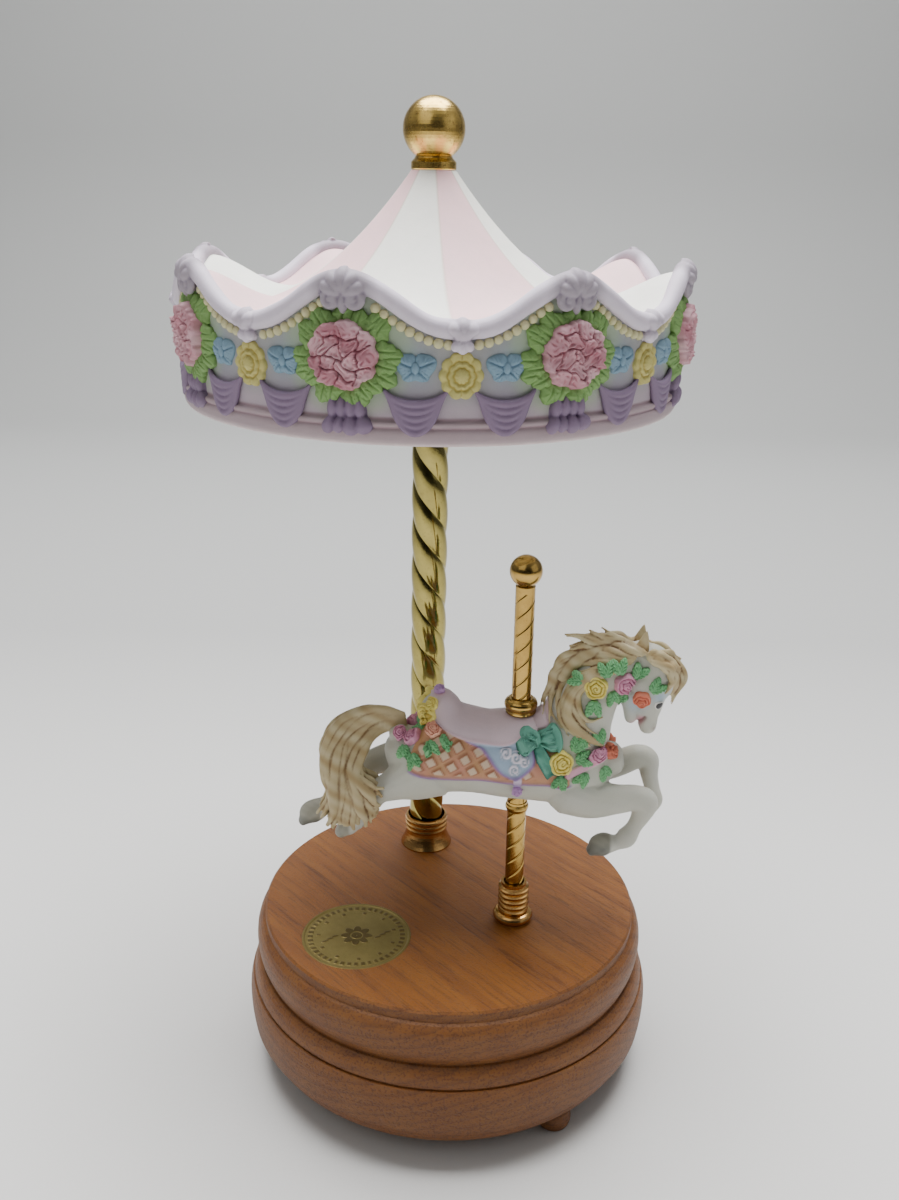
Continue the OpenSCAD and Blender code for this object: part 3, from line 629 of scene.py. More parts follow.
def fluted_rod():
    """A slim rod with fine steep right-handed grooves."""
    low, high = low_of("horse_pole"), top_of("horse_pole")
    rod_r, groove_depth, starts, pitch = 3.15, 0.24, 3, 17.7
    z = np.linspace(low, high, 980)[:, None]
    phi = round_angles(72)
    lobe = ((phi - TURN * (z - low) / pitch) * starts / TURN) % 1
    grooved = (z > TOP_Z + 12) & (z < high - 2)
    return capped(around(HORSE, rod_r - groove_depth * bell(lobe - 0.5, 0.04) * grooved, phi, z))


twist = piece("pole_twist", rope_pole(), "canopy", POLE_BRASS)
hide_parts("twisted_pole")
rod = piece("horse_rod", fluted_rod(), "horse", GOLD)
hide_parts("horse_pole")


def marks_in_ring(a, r, count, share, inner, outer):
    """Marks spaced evenly round a ring between two radii."""
    return (np.abs(((a * count / TURN) % 1) - 0.5) < share) & (r > inner) & (r < outer)


def leaf_sprays(x, y):
    """Three small leaves to each side of the rosette."""
    spray = np.zeros_like(x)
    c, s = math.cos(0.5), math.sin(0.5)
    for side in SIDES:
        for k in range(3):
            u, v = x - side * (7.2 + 1.5 * k), y + 0.6 - side * 1.5 * k
            reach = ((u * c + v * s) / 1.3) ** 2 + ((v * c - u * s) / 0.5) ** 2
            spray = np.maximum(spray, 1 - step(reach, 0.6, 1.1))
    return spray


def medallion_part():
    """A struck disc: raised rim, a ring of small marks and a plain rosette with leaf sprays."""
    centre, top = middle("medallion"), top_of("medallion")
    r = (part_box("medallion")[1].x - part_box("medallion")[0].x) / MM / 2
    a = round_angles(300)
    rr, aa = np.meshgrid(np.linspace(r, 0.05, 120), a, indexing="ij")
    marks = marks_in_ring(aa, rr, 44, 0.27, r - 3.6, r - 1.9)
    dots = marks_in_ring(aa, rr, 11, 0.07, r - 6.0, r - 4.9)
    petals = 5.4 * (0.62 + 0.38 * np.abs(np.cos(4 * aa)))
    rosette = step(rr, 0.0, 0.4) * (1 - step(rr, petals - 0.25, petals))
    rosette *= 1 - step(np.abs(rr - 2.0), 0.35, 0.1)
    spray = leaf_sprays(rr * np.cos(aa), rr * np.sin(aa))
    rim = 0.22 * step(rr, r - 1.0, r - 0.6) - 0.22
    face = around(centre, rr, aa, top + rim + 0.16 * marks + 0.14 * dots + 0.16 * rosette + 0.15 * spray)
    under = around(centre, r, a, low_of("medallion"))[None]
    mark = np.clip(marks + dots + rosette + spray, 0, 1)
    dark = np.concatenate([[0.6] * len(a), mark.ravel(), [0.6, 0.5]])
    return capped(np.concatenate([under, face], 0)), dark


def medallion_material():
    g = Graph("medallion_brass")
    place = g.coords()
    patch, speck = g.noise(place, 120, 5, 0.6), g.noise(place, 1800, 3, 0.7)
    tone = g.mix(g.ramp(patch, [(0.35, 0.0), (0.75, 0.7)]), srgb(128, 114, 62), srgb(106, 92, 46))
    tone = g.mix(g.ramp(speck, [(0.3, 0.4), (0.45, 0.0)]), tone, srgb(96, 84, 44))
    rough = g.ramp(patch, [(0.3, 0.42), (0.8, 0.55)])
    return g.set(Base_Color=g.times_colour(tone, g.painted()), Roughness=rough,
                 Normal=g.bump(speck, 0.2, 0.0002), Metallic=0.6)


disc_part, disc_marks = medallion_part()
disc = piece("medallion_disc", disc_part, "base", medallion_material())
paint(disc, mixed(srgb(255, 255, 255), srgb(184, 174, 150), disc_marks))
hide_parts("medallion")

# ---------------------------------------------------------------- canopy shell

RIM_PEAK = CANOPY_LOW + 44.3
RIM_VALLEY = CANOPY_LOW + 31.8
RIM_R = 80.9
RIM_TUBE_R = 2.62
KNOB_R = RIM_R - 0.6
WALL_R = 80.0
TENT_LOW = CANOPY_LOW + 27.3
TENT_FOOT_R = 78.0
TENT_NECK_R = 7.0
HUB_R = 6.8
ROOF_THICKNESS = 3.0


def from_peak(angle):
    """Degrees from the nearest peak, and 0 to 1 from valley to peak."""
    off = (np.degrees(angle) - FIRST_PEAK + PERIOD / 2) % PERIOD - PERIOD / 2
    return off, ((1 + np.cos(np.radians(off * SCALLOPS))) / 2) ** 1.25


def rim_z(angle):
    """Height of the scalloped rim's middle line."""
    return RIM_VALLEY + (RIM_PEAK - RIM_VALLEY) * from_peak(angle)[1]


def roof_z(r, angle):
    """The tent's steepening cone, turned up at its edge to meet the scalloped rim."""
    climb = np.clip(TENT_FOOT_R - r, 0, None) / (TENT_FOOT_R - TENT_NECK_R)
    edge = step(r, 38, RIM_R - 1) ** 1.5
    return TENT_LOW + (ROOF_TOP - TENT_LOW) * climb ** 2.2 + (rim_z(angle) - 0.6 - TENT_LOW) * edge


ROOF, WALL, BAND, INSIDE = range(4)
BAND_PROFILE = [(79.9, 7.4), (80.3, 7.0), (81.1, 6.7), (81.3, 6.2), (81.2, 5.6), (80.8, 5.2), (80.9, 4.8),
                (81.4, 4.4), (81.5, 3.4), (81.4, 2.2), (81.1, 1.2)]


def canopy_rings():
    """Closed rings from the hub over the roof, down the wall and band and back up inside."""
    a = round_angles(480)
    rings, zones = [], []

    def ring(r, z, zone):
        rings.append(around(POLE, np.broadcast_to(r, a.shape), a, z))
        zones.append(zone)

    for r in np.concatenate([[HUB_R], np.linspace(7.2, 30, 18), np.linspace(32, RIM_R - 1, 34)]):
        ring(r, roof_z(r, a), ROOF)
    high, foot = rim_z(a) - 0.5, CANOPY_LOW + 8.2
    for t in np.linspace(0, 1, 12):
        ring(WALL_R + 0.7 * (1 - t), high + (foot - high) * t, WALL)
    for r, z in BAND_PROFILE:
        ring(r, CANOPY_LOW + z, BAND)
    chips = 0.25 * np.sin(a * 61) * np.sin(a * 23 + 1) + 0.2 * np.sin(a * 137)
    ring(80.5 + chips * 0.5, CANOPY_LOW + 0.3 + 0.3 * np.abs(chips), BAND)
    ring(79.8, CANOPY_LOW + 0.02, BAND)
    ring(78.0, CANOPY_LOW + 0.02, INSIDE)
    inner_r = 77.2
    ring(inner_r, CANOPY_LOW + 0.6, INSIDE)
    for t in np.linspace(0.1, 1, 6):
        ring(inner_r, CANOPY_LOW + (rim_z(a) - 6.0 - CANOPY_LOW) * t, INSIDE)
    for r in np.linspace(75.5, 9.5, 22):
        ring(r, roof_z(r, a) - ROOF_THICKNESS, INSIDE)
    ring(HUB_R, top_of("canopy_washer") + 0.1, INSIDE)
    return np.array(rings), np.repeat(zones, len(a))


def wall_colour(across, z):
    """Grey and lilac ground with a soft green, blue and violet halo round the ornaments."""
    side = np.abs(across)
    halo = (across / 18.5) ** 2 + ((z - 24.2) / 16.5) ** 2
    return layered(
        WALL_GREY,
        (srgb(188, 171, 182), step(z, 15, 9) * 0.8),
        (srgb(160, 184, 144), step(halo, 1.25, 0.8) * 0.55),
        (srgb(142, 166, 182), bell(side - 19, 4.5) * bell(z - 22, 5.0) * 0.7),
        (srgb(170, 154, 177), bell(side - 19, 8) * bell(z - 12, 5.0) * 0.5),
    )


def band_colour(z):
    """Dull pink, with painted shade deeper in the two grooves, and pale where the foot is chipped."""
    grooves = (bell(z - 5.2, 0.4) + bell(z - 7.6, 0.5)) * 0.6
    return layered(BAND_PINK, (srgb(168, 136, 148), grooves), (srgb(224, 208, 208), step(z, 1.5, 0.3) * 0.7))


def roof_colour(a, r):
    """White and pink stripes, with a thin worn line between them."""
    along = (np.degrees(a) - FIRST_PEAK + PERIOD / 2) / PERIOD
    edge = np.abs(along - np.round(along)) * np.radians(PERIOD) * r
    stripes = np.where((np.floor(along) % 2 == 0)[:, None], WHITE, ROOF_PINK)
    return mixed(srgb(206, 190, 170), stripes, 0.55 + 0.45 * step(edge, 0.15, 0.5))


def paint_canopy(obj, zones):
    """Stripes on the roof, and the wall's, the band's and the inside's own colours."""
    p = points_of(obj.data)
    a, r = from_axis(p, POLE)
    z = p[:, 2] - CANOPY_LOW
    across = np.radians(from_peak(a)[0]) * WALL_R
    colour = roof_colour(a, r)
    for zone, own in ((WALL, wall_colour(across, z)), (BAND, band_colour(z)), (INSIDE, srgb(222, 218, 210))):
        colour = np.where((zones == zone)[:, None], own, colour)
    paint(obj, colour)


shell_rings, shell_zones = canopy_rings()
shell = bisque_piece("canopy_shell", looped(shell_rings), "canopy")
paint_canopy(shell, shell_zones)
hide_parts("canopy")

# ---------------------------------------------------------------- canopy rim

PEAKS = [FIRST_PEAK + k * PERIOD for k in range(SCALLOPS)]
VALLEYS = [a + PERIOD / 2 for a in PEAKS]


def on_band(part, angle, z, radius=WALL_R):
    """A relief part (across, up, out) bent round the canopy's wall at angle degrees and height z."""
    points, faces = part
    a = np.radians(angle) + points[:, 0] / radius
    return around(POLE, radius + points[:, 2], a, z + points[:, 1]), faces


def placed(make, angles, z, radius=WALL_R):
    """One relief after another round the canopy, each made afresh."""
    return merged([on_band(make(), a, z, radius) for a in angles])


def rim_tube():
    """The rounded lavender rim, slightly uneven as hand-finished porcelain is."""
    a, phi = round_angles(640), round_angles(16)
    radius = (RIM_TUBE_R + 0.10 * np.sin(a * 17 + 1) + 0.08 * np.sin(a * 41))[:, None]
    centre_r = (RIM_R + 0.15 * np.sin(a * 9))[:, None]
    z = rim_z(a) + 0.12 * np.sin(a * 29)
    slope = (np.gradient(z, a) / RIM_R)[:, None]
    lean = 1 / np.sqrt(1 + slope ** 2)
    along = a[:, None] - radius * np.sin(phi) * slope * lean / RIM_R
    height = z[:, None] + radius * np.sin(phi) * lean
    return looped(around(POLE, centre_r + radius * np.cos(phi), along, height))


def bead_row():
    """The string of yellow beads that hangs a constant distance below the rim, clear of its knobs."""
    drop, pitch, size, clear_of_peak, clear_of_valley = 4.15, 2.72, 1.42, 4.6, 2.1
    a = round_angles(6000)
    z = rim_z(a)
    slope = np.gradient(z, a) / WALL_R
    lean = np.sqrt(1 + slope ** 2)
    arc, up = a * WALL_R + drop * slope / lean, z - drop / lean
    length = np.concatenate([[0], np.cumsum(np.hypot(np.diff(arc), np.diff(up)))])
    parts = []
    for s in np.arange(0, length[-1], pitch):
        u, v = np.interp(s, length, arc), np.interp(s, length, up)
        if clear_of_peak < abs(from_peak(u / WALL_R)[0]) < PERIOD / 2 - clear_of_valley:
            r = size * (1 + 0.05 * math.sin(s * 1.7))
            bead = ball((0, 0, 0.35), (r, r, 1.25), 7, 10)
            parts.append(on_band(bead, math.degrees(u / WALL_R), v, WALL_R + 0.3))
    return merged(parts)


beads = bisque_piece("canopy_beads", bead_row(), "canopy")
two_tone(beads, BEAD, BEAD_DARK, 0.3, 4)


def lobe(length, width, height):
    """A rounded tongue that starts at the origin and points along +x."""
    a = round_angles(22)
    edge = outline(a, length / 2, width / 2 * (1 + 0.25 * np.cos(a)))
    return moved(pad(edge, lambda x, y, rho, phi: height * dome(rho, 0.9), 6), (length / 2, 0, 0))


def curl(radius, thick, turns, hand):
    """A flat scroll that winds in towards its centre."""
    t = np.linspace(0, 1, 26)
    a = hand * t * turns * TURN + np.pi / 2
    r = radius * (1 - 0.86 * t)
    size = thick * (1 - 0.35 * t)
    return sweep(around((0, 0), r, a, 0.4 + 0.8 * t), size, size, 9, (0, 0, 1))


def bent(part, start=0.0):
    """A relief part that curves back over the rim above the height start."""
    bend = 0.075
    points, faces = part
    p = np.array(points)
    p[:, 2] -= bend * np.clip(p[:, 1] - start, 0, None) ** 2
    return p, faces


def peak_shell():
    """Fan of five flutes that folds over the rim, on a pair of volutes."""
    parts = [bent(moved(lobe(7.4 - 0.4 * abs(k), 3.7, 2.5), (0, -4.0, 2.2), 90 + k * 32), -1.0)
             for k in range(-2, 3)]
    for hand in SIDES:
        parts.append(moved(curl(2.5, 1.3, 1.1, -hand), (hand * 3.0, -5.4, 1.8)))
        parts.append(ball((hand * 3.0, -5.4, 2.0), (1.7, 1.7, 1.5), 8, 12))
        parts.append(moved(lobe(4.6, 3.4, 2.2), (hand * 0.8, -3.2, 1.6), -90 + hand * 42))
    parts.append(moved(lobe(6.4, 2.4, 2.4), (0, -2.6, 1.4), -90))
    return merged(parts)


def valley_knob():
    """Small knob of three petals over the rim with a pointed leaf below it."""
    parts = [bent(moved(lobe(5.2, 3.6, 2.6), (0, -1.8, 2.0), 90 + k * 44)) for k in (-1, 0, 1)]
    parts += [moved(lobe(4.0, 2.6, 1.8), (0, -2.4, 1.4), -90 + k * 42) for k in (-1, 0, 1)]
    parts.append(ball((0, -0.6, 2.0), (2.9, 2.3, 2.2)))
    return merged(parts)


def paint_rim(obj):
    """Lavender, greyer where the shells and knobs are worn, with painted shade dark in the grooves."""
    p = points_of(obj.data)
    off = np.abs(from_peak(from_axis(p, POLE)[0])[0])
    on_knob = np.maximum(step(off, 7.5, 3.5), step(off, 19, 22) * 0.5)
    worn = on_knob * step(p[:, 2], RIM_VALLEY - 6, RIM_VALLEY)
    paint(obj, layered(LILAC, (LILAC_WORN, worn * 0.9), (LILAC_DARK, crease(obj, 10, 0.2))))


shells = placed(peak_shell, PEAKS, RIM_PEAK, KNOB_R)
knobs = placed(valley_knob, VALLEYS, RIM_VALLEY, KNOB_R)
rim = bisque_piece("canopy_rim", fused([shells, knobs, rim_tube()], 0.36, 1), "canopy")
paint_rim(rim)

# ---------------------------------------------------------------- canopy ornaments


def leaf(length, width, height, notch):
    """A pointed leaf along +x with a midrib, curled and veined halves and a notched edge."""
    a = round_angles(44)
    edge = outline(a, length / 2, width / 2 * (1 - 0.32 * np.cos(a)) * (1 - notch * np.abs(np.sin(3.5 * a))))

    def face(x, y, rho, phi):
        across = np.abs(y) / (width / 2)
        veins = 0.14 * np.cos((x * 2.1 - np.abs(y) * 2.4) * 2.2) * step(across, 0.1, 0.4)
        curled = height * (1 - 0.7 * rho ** 2) + 0.5 * across * (1 - rho)
        return curled - 0.55 * bell(y, 0.3) * (1 - rho ** 4) + veins

    return moved(pad(edge, face, 9), (length / 2, 0, 0))


def on_oval(rx, ry, turn, lift):
    """A point of an oval at turn degrees, lifted out of its plane."""
    return rx * math.cos(math.radians(turn)), ry * math.sin(math.radians(turn)), lift


def wreath():
    """Two overlapping rounds of crumpled leaves."""
    count = 12
    parts = []
    for k in range(count):
        outer = 360 * k / count + 8 * math.sin(k * 2.3)
        inner = outer + 180 / count
        outer_leaf, inner_leaf = leaf(7.2, 7.4, 2.1, 0.26), leaf(6.6, 6.4, 1.9, 0.26)
        parts.append(moved(outer_leaf, on_oval(9.0, 7.6, outer, 0.5), outer + 16 * math.sin(k * 1.7)))
        parts.append(moved(inner_leaf, on_oval(8.0, 6.6, inner, 1.1), inner - 16 * math.cos(k)))
    return merged(parts)


PETAL_SPOTS = [(0.05, 0.02)]
PETAL_SPOTS += [(0.36 * math.cos(a), 0.36 * math.sin(a)) for a in (0.4, 1.7, 2.9, 4.1, 5.3)]
PETAL_SPOTS += [(0.74 * math.cos(a), 0.74 * math.sin(a))
                for a in (0.0, 0.75, 1.4, 2.15, 2.8, 3.5, 4.2, 4.9, 5.6)]


def peony():
    """Full-blown rose: crowded petals, cupped and ruffled, with raised rims."""
    size = 10.2
    a = round_angles(144)
    ruffle = 0.9 + 0.1 * np.abs(np.cos(4.5 * a + 0.6 * np.sin(2 * a))) + 0.015 * np.sin(27 * a)
    turn = rng.uniform(0, TURN)
    c, s = math.cos(turn), math.sin(turn)
    spots = np.array([(x * c - y * s + rng.uniform(-0.07, 0.07), x * s + y * c + rng.uniform(-0.07, 0.07))
                      for x, y in PETAL_SPOTS])
    tilts = np.array([rng.uniform(0, TURN) for _ in spots])

    def face(x, y, rho, phi):
        u, v = x / size, y / size
        warp_u = 0.10 * np.sin(6 * v + turn) + 0.03 * np.sin(15 * v)
        warp_v = 0.10 * np.sin(6.5 * u) + 0.03 * np.sin(14 * u)
        u, v = u + warp_u, v + warp_v
        away = np.stack([np.hypot(u - spot_u, v - spot_v) for spot_u, spot_v in spots])
        own = np.argmin(away, 0)
        near, second = np.sort(away, 0)[:2]
        split = second - near
        du, dv = u - spots[own, 0], v - spots[own, 1]
        slope = (du * np.cos(tilts[own]) + dv * np.sin(tilts[own])) * 2.6
        spin = np.arctan2(dv, du)
        raised = 0.75 * bell(split - 0.10, 0.07) * (0.7 + 0.3 * np.cos(5 * spin + own))
        frill = 0.26 * np.cos(6 * spin + 2 * own + 16 * near) * step(near, 0.04, 0.16)
        cup = 2.2 + 1.6 * dome(rho, 0.8)
        return step(rho, 1.0, 0.92) * (cup + slope + raised + frill - 0.7 * bell(split, 0.04))

    return pad(outline(a, size * ruffle, 9.9 * ruffle), face, 38)


def daisy():
    """Yellow flower with a button heart, a ring and a scalloped skirt of petals."""
    def face(x, y, rho, phi):
        petals = 0.5 * np.abs(np.cos(5 * phi)) ** 0.7 * step(rho, 0.55, 0.75)
        heart = 1.3 * dome(rho / 0.32, 1) + 0.6 * bell(rho - 0.48, 0.08) - 0.35 * bell(rho - 0.62, 0.04)
        return step(rho, 1.0, 0.93) * (1.5 - 0.5 * rho + petals + heart)

    return pad(oval(6.3, 6.7, 96, 10, 0.1), face, 22)


def bow_knot():
    """Small blue bow: two upper loops, two lower tails and a knot."""
    parts = [moved(leaf(6.0, 6.4, 1.7, 0.05), (0, -0.2, 0.3), turn) for turn in (22, 158)]
    parts += [moved(leaf(4.6, 4.6, 1.5, 0.05), (0, -0.2, 0.3), turn) for turn in (-42, -138)]
    return merged(parts + [ball((0, 0, 1.2), (1.2, 1.7, 1.1), 8, 10)])


def backing(edge, height, up):
    """The cloth behind a drape, its middle up above the origin."""
    return moved(pad(edge, lambda x, y, rho, phi: height * (1 - rho ** 4), 5), (0, up, 0))


def swag():
    """A draped cloth: five hanging folds one inside the other."""
    t = np.linspace(-1, 1, 30)
    bulge = (1 - t ** 2) ** 0.75
    size = 0.62 + 0.56 * bulge
    parts = []
    for k in range(5):
        drop = 4.9 - 0.6 * k - (3.4 + 1.4 * k) * bulge
        path = np.stack([(8.3 - 0.4 * k) * t, drop, 0.8 + 0.1 * (4 - k) * bulge], -1)
        parts.append(sweep(path, size, size * 1.1, 10, (0, 0, 1)))
    a = round_angles(40)
    return merged(parts + [backing(outline(a, 5.4, np.where(np.sin(a) > 0, 2.0, 6.6)), 0.6, 0.6)])


def tassel():
    """Gathered fringe: a pleated tier and a wider one that parts below it."""
    parts = [moved(lobe(6.0, 2.9, 1.9), (k * 2.5, 6.4, 0.7), -90 + k * 2) for k in (-1.5, -0.5, 0.5, 1.5)]
    for u, length, width in ((-4.4, 5.6, 3.6), (-1.8, 5.1, 3.0), (1.2, 5.6, 4.4), (4.6, 5.1, 4.8)):
        parts.append(moved(lobe(length, width, 2.3), (u * 0.88, 1.0, 0.8), -90 + u * 5.0))
    return merged(parts + [backing(oval(6.0, 5.6, 32), 0.8, 1.6)])


def ornament(name, make, angles, up, light, dark, depth, voxel=None):
    """A relief repeated round the wall, up above the canopy's lower edge; a voxel size fuses its parts."""
    part = placed(make, angles, CANOPY_LOW + up)
    obj = bisque_piece(name, fused([part], voxel, 1) if voxel else part, "canopy")
    two_tone(obj, light, dark, depth, 8)


def paint_roses(obj):
    """A soft wash of two pinks, with painted shade deeper in the folds."""
    p = points_of(obj.data)
    wash = 0.5 + 0.5 * np.sin(p[:, 0] * 0.35 + p[:, 2] * 0.5) * np.sin(p[:, 1] * 0.31)
    paint(obj, layered(ROSE_PALE, (ROSE, wash), (ROSE_DARK, crease(obj, 10, 0.4) * 0.9)))


SWAG_OFFSET = math.degrees(12.3 / WALL_R)
SWAG_ANGLES = [a + s * SWAG_OFFSET for a in VALLEYS for s in SIDES]
ornament("canopy_leaves", wreath, PEAKS, 24.2, LEAF_GREEN, LEAF_DARK, 0.26)
ornament("canopy_daisies", daisy, VALLEYS, 19.6, YELLOW, YELLOW_DARK, 0.22)
ornament("canopy_bows", bow_knot, SWAG_ANGLES, 21.6, BLUE, BLUE_DARK, 0.25)
ornament("canopy_swags", swag, SWAG_ANGLES, 10.4, PURPLE, PURPLE_DARK, 0.3, 0.36)
ornament("canopy_tassels", tassel, PEAKS, 7.0, PURPLE, PURPLE_DARK, 0.3, 0.36)
roses = bisque_piece("canopy_roses", placed(peony, PEAKS, CANOPY_LOW + 24.6, WALL_R + 1.5), "canopy")
paint_roses(roses)

# ---------------------------------------------------------------- horse


def spine(stations, count, sides):
    """A limb on the horse's middle plane, through (x, z, half thickness, half width) stations."""
    return limb([(x, 0, z, thick, wide) for x, z, thick, wide in stations], count, sides)


def trunk():
    """Torso, neck, head, jaw and saddle seat."""
    return [
        spine([(-39.4, 70, 3.6, 5), (-37.8, 67.5, 8.6, 8.6), (-34, 65, 12.8, 11.8), (-28.5, 64, 14.2, 12.8),
               (-21, 63.6, 13.6, 12.4), (-13, 62.4, 12.6, 11.9), (-4, 61.4, 13.0, 12.2),
               (4, 61.2, 13.6, 12.4), (12, 61, 14.2, 12.0), (20, 61, 13.8, 11.0), (26, 61.5, 10.8, 9),
               (29.4, 62, 6.3, 5.8)], 60, 40),
        spine([(13, 66, 14, 10.5), (17, 72, 12.8, 9.6), (19.8, 79, 10.8, 7.8), (23.4, 86.5, 9.2, 6.4),
               (29, 93.5, 8.2, 5.6), (35.5, 97, 7.2, 5.0)], 34, 30),
        spine([(37, 99, 5.5, 4.6), (40.4, 95.5, 7.6, 5.4), (41.2, 90.5, 8.2, 5.7), (40.6, 85.5, 6.8, 4.8),
               (41.0, 81, 4.9, 3.8), (41.2, 77.4, 3.6, 3.2), (41.5, 74.4, 3.0, 3.0)], 34, 24),
        spine([(36, 90, 4.5, 4.4), (35.4, 84.5, 3.7, 3.4), (35.6, 80.4, 2.6, 2.6),
               (35.9, 77.2, 2.2, 2.2)], 18, 16),
        spine([(-26.8, 79.4, 5.8, 5.4), (-24.6, 75.4, 6.2, 7.6), (-21.4, 72.8, 6.4, 9.0),
               (-17, 71.2, 6.6, 9.6), (-10.6, 69.9, 6.6, 9.4), (-4.6, 70.4, 6.6, 9.2), (2, 70.8, 6.4, 9.0),
               (6, 71, 5, 8)], 30, 30),
    ]


def face_parts(side):
    """Cheek, nostril and upper eyelid."""
    return [
        ball((38.5, side * 3.4, 89.5), (4.6, 2.8, 4.8)),
        ball((42.8, side * 2.0, 74.8), (1.3, 1.2, 1.4), 8, 10),
        limb([(42.2, side * 3.8, 85.2, 0.9, 0.8), (43.6, side * 3.9, 85.4, 0.9, 0.8),
              (45.0, side * 3.2, 84.8, 0.7, 0.6)], 10, 8),
    ]


def near_legs():
    """Fore leg and hoof, hind leg and hoof."""
    return [
        limb([(16, -5.5, 53, 8.4, 6.5), (24, -6.2, 50.5, 7.0, 5.6), (32, -6.6, 50.6, 5.1, 4.6),
              (38.0, -6.6, 51.2, 4.4, 4.0), (41.4, -6.6, 49.6, 4.5, 4.0), (40.6, -6.6, 45.2, 3.4, 3.3),
              (38.6, -6.6, 40.6, 2.6, 2.6), (36.2, -6.6, 36.4, 3.5, 3.2), (33.6, -6.6, 34.6, 2.6, 2.6),
              (31.2, -6.6, 33.9, 2.5, 2.6)], 48, 18),
        limb([(31.6, -6.6, 34.0, 3.0, 2.9), (29.2, -6.6, 33.8, 3.9, 3.6), (26.8, -6.6, 32.8, 3.6, 3.6),
              (25.0, -6.6, 31.4, 1.9, 2.8)], 14, 18),
        limb([(-29.5, -5.5, 60.5, 11.2, 7.6), (-35.5, -6, 57, 8.6, 6.6), (-41.0, -6, 54, 5.6, 4.8),
              (-45.6, -6, 51.4, 4.2, 3.7), (-48.0, -6, 48.0, 3.4, 3.3), (-50.8, -6, 43.6, 2.8, 2.8),
              (-53.6, -6, 40.2, 3.2, 3.1)], 40, 18),
        limb([(-53.6, -6, 40.4, 2.9, 2.9), (-56.2, -6, 38.6, 3.5, 3.3), (-58.4, -6, 36.4, 2.2, 3.0)], 10, 16),
    ]


def far_legs():
    """Fore leg and hoof, hind leg and hoof."""
    return [
        limb([(20, 5.5, 55, 8.0, 6), (27, 6.2, 56, 6.0, 5.2), (34, 6.6, 57.2, 4.7, 4.3),
              (40, 6.6, 59.6, 4.2, 3.9), (43.6, 6.6, 58.4, 3.9, 3.7), (44.6, 6.6, 53.0, 3.0, 3.0),
              (46.0, 6.6, 47.6, 2.6, 2.6), (46.8, 6.6, 43.6, 3.1, 3.0), (46.2, 6.6, 41.0, 2.5, 2.5),
              (45.0, 6.6, 39.6, 2.4, 2.4)], 44, 18),
        limb([(45.0, 6.6, 39.6, 2.6, 2.6), (43.6, 6.6, 38.4, 3.0, 2.9), (42.6, 6.6, 37.4, 2.7, 2.8),
              (42.0, 6.6, 36.6, 1.6, 2.2)], 12, 16),
        limb([(-31, 5.5, 61, 10.5, 7.4), (-38, 6.2, 58.5, 6.8, 5.6), (-46, 6.6, 56.6, 4.8, 4.4),
              (-52.6, 6.8, 52.8, 4.3, 3.9), (-57.2, 7, 47.6, 3.2, 3.2), (-61.4, 7, 42.6, 2.8, 2.8),
              (-64.6, 7, 38.8, 3.3, 3.1)], 40, 18),
        limb([(-65, 7, 38.6, 3.0, 3.0), (-67.8, 7, 37.0, 3.9, 3.5), (-70.6, 7, 35.2, 3.9, 3.6),
              (-72.6, 7, 32.8, 1.9, 2.8)], 12, 16),
    ]


def to_row(part):
    """From the horse's own numbers to the row frame."""
    points, faces = part
    return np.asarray(points) + np.array([HORSE[0], HORSE[1], TOP_Z]), faces


BLANKET_EDGE = smooth_path([(-26, 84), (-31, 76), (-36.4, 64.4), (-33.5, 61.2), (-27, 60.2), (-20.3, 59.7),
                            (-12.9, 59.6), (-4.6, 58.8), (3, 58.4), (9, 58.2), (13.2, 56.9), (16.0, 58.2),
                            (14.6, 64), (10, 71), (7, 84)], 70)
SADDLE_EDGE = smooth_path([(-29, 92), (-29, 80), (-26.6, 76), (-23.9, 74.1), (-18.6, 72.4), (-13.2, 71.3),
                           (-8.6, 70.7), (-4.4, 70.8), (0.4, 72.6), (6.0, 74.6), (9.6, 78), (10, 92)], 60)
FLAP_EDGE = smooth_path([(-17.6, 72.4), (-12.2, 69.1), (-7.2, 63.4), (-4.2, 61.4), (-1.2, 61.0), (1.6, 62.8),
                         (4.0, 65.7), (3.4, 69.6), (0, 74), (-9, 74)], 50)
PIPING_LOW = smooth_path([(-35.6, 62.0), (-33.5, 61.2), (-27, 60.2), (-20.3, 59.7), (-12.9, 59.6),
                          (-4.6, 58.8), (3, 58.4), (9, 58.2), (13.2, 56.9), (16.0, 57.6)], 50)
STRAP_LINE = [(-1.0, 61.2), (-0.9, 58.6), (-1.0, 55.4)]
BREAST_LINE = [(15.4, 61.8), (22.3, 65.0), (28.4, 66.6)]
MOUTH_LINE = [(36.6, 74.6), (38.2, 76.2), (39.8, 78.4)]
LIP_LINE = [(36.4, 75.2), (37.6, 75.8), (38.8, 77.8)]


def along_line(points, line):
    """Distance from points (n, 2) to an open line."""
    line = np.array(line, float)
    nearest = np.full(len(points), 1e9)
    for a, b in zip(line[:-1], line[1:]):
        ab = b - a
        t = np.clip(((points - a) @ ab) / (ab @ ab), 0, 1)
        nearest = np.minimum(nearest, np.linalg.norm(points - a - t[:, None] * ab, axis=1))
    return nearest


def inside(points, edge):
    """Signed distance from points (n, 2) to a closed edge: positive inside."""
    ring = np.vstack([edge, edge[:1]])
    within = np.zeros(len(points), bool)
    for a, b in zip(ring[:-1], ring[1:]):
        crosses = (a[1] > points[:, 1]) != (b[1] > points[:, 1])
        rise = b[1] - a[1] if abs(b[1] - a[1]) > 1e-9 else 1e-9
        within ^= crosses & (points[:, 0] < a[0] + (points[:, 1] - a[1]) * (b[0] - a[0]) / rise)
    distance = along_line(points, ring)
    return np.where(within, distance, -distance)


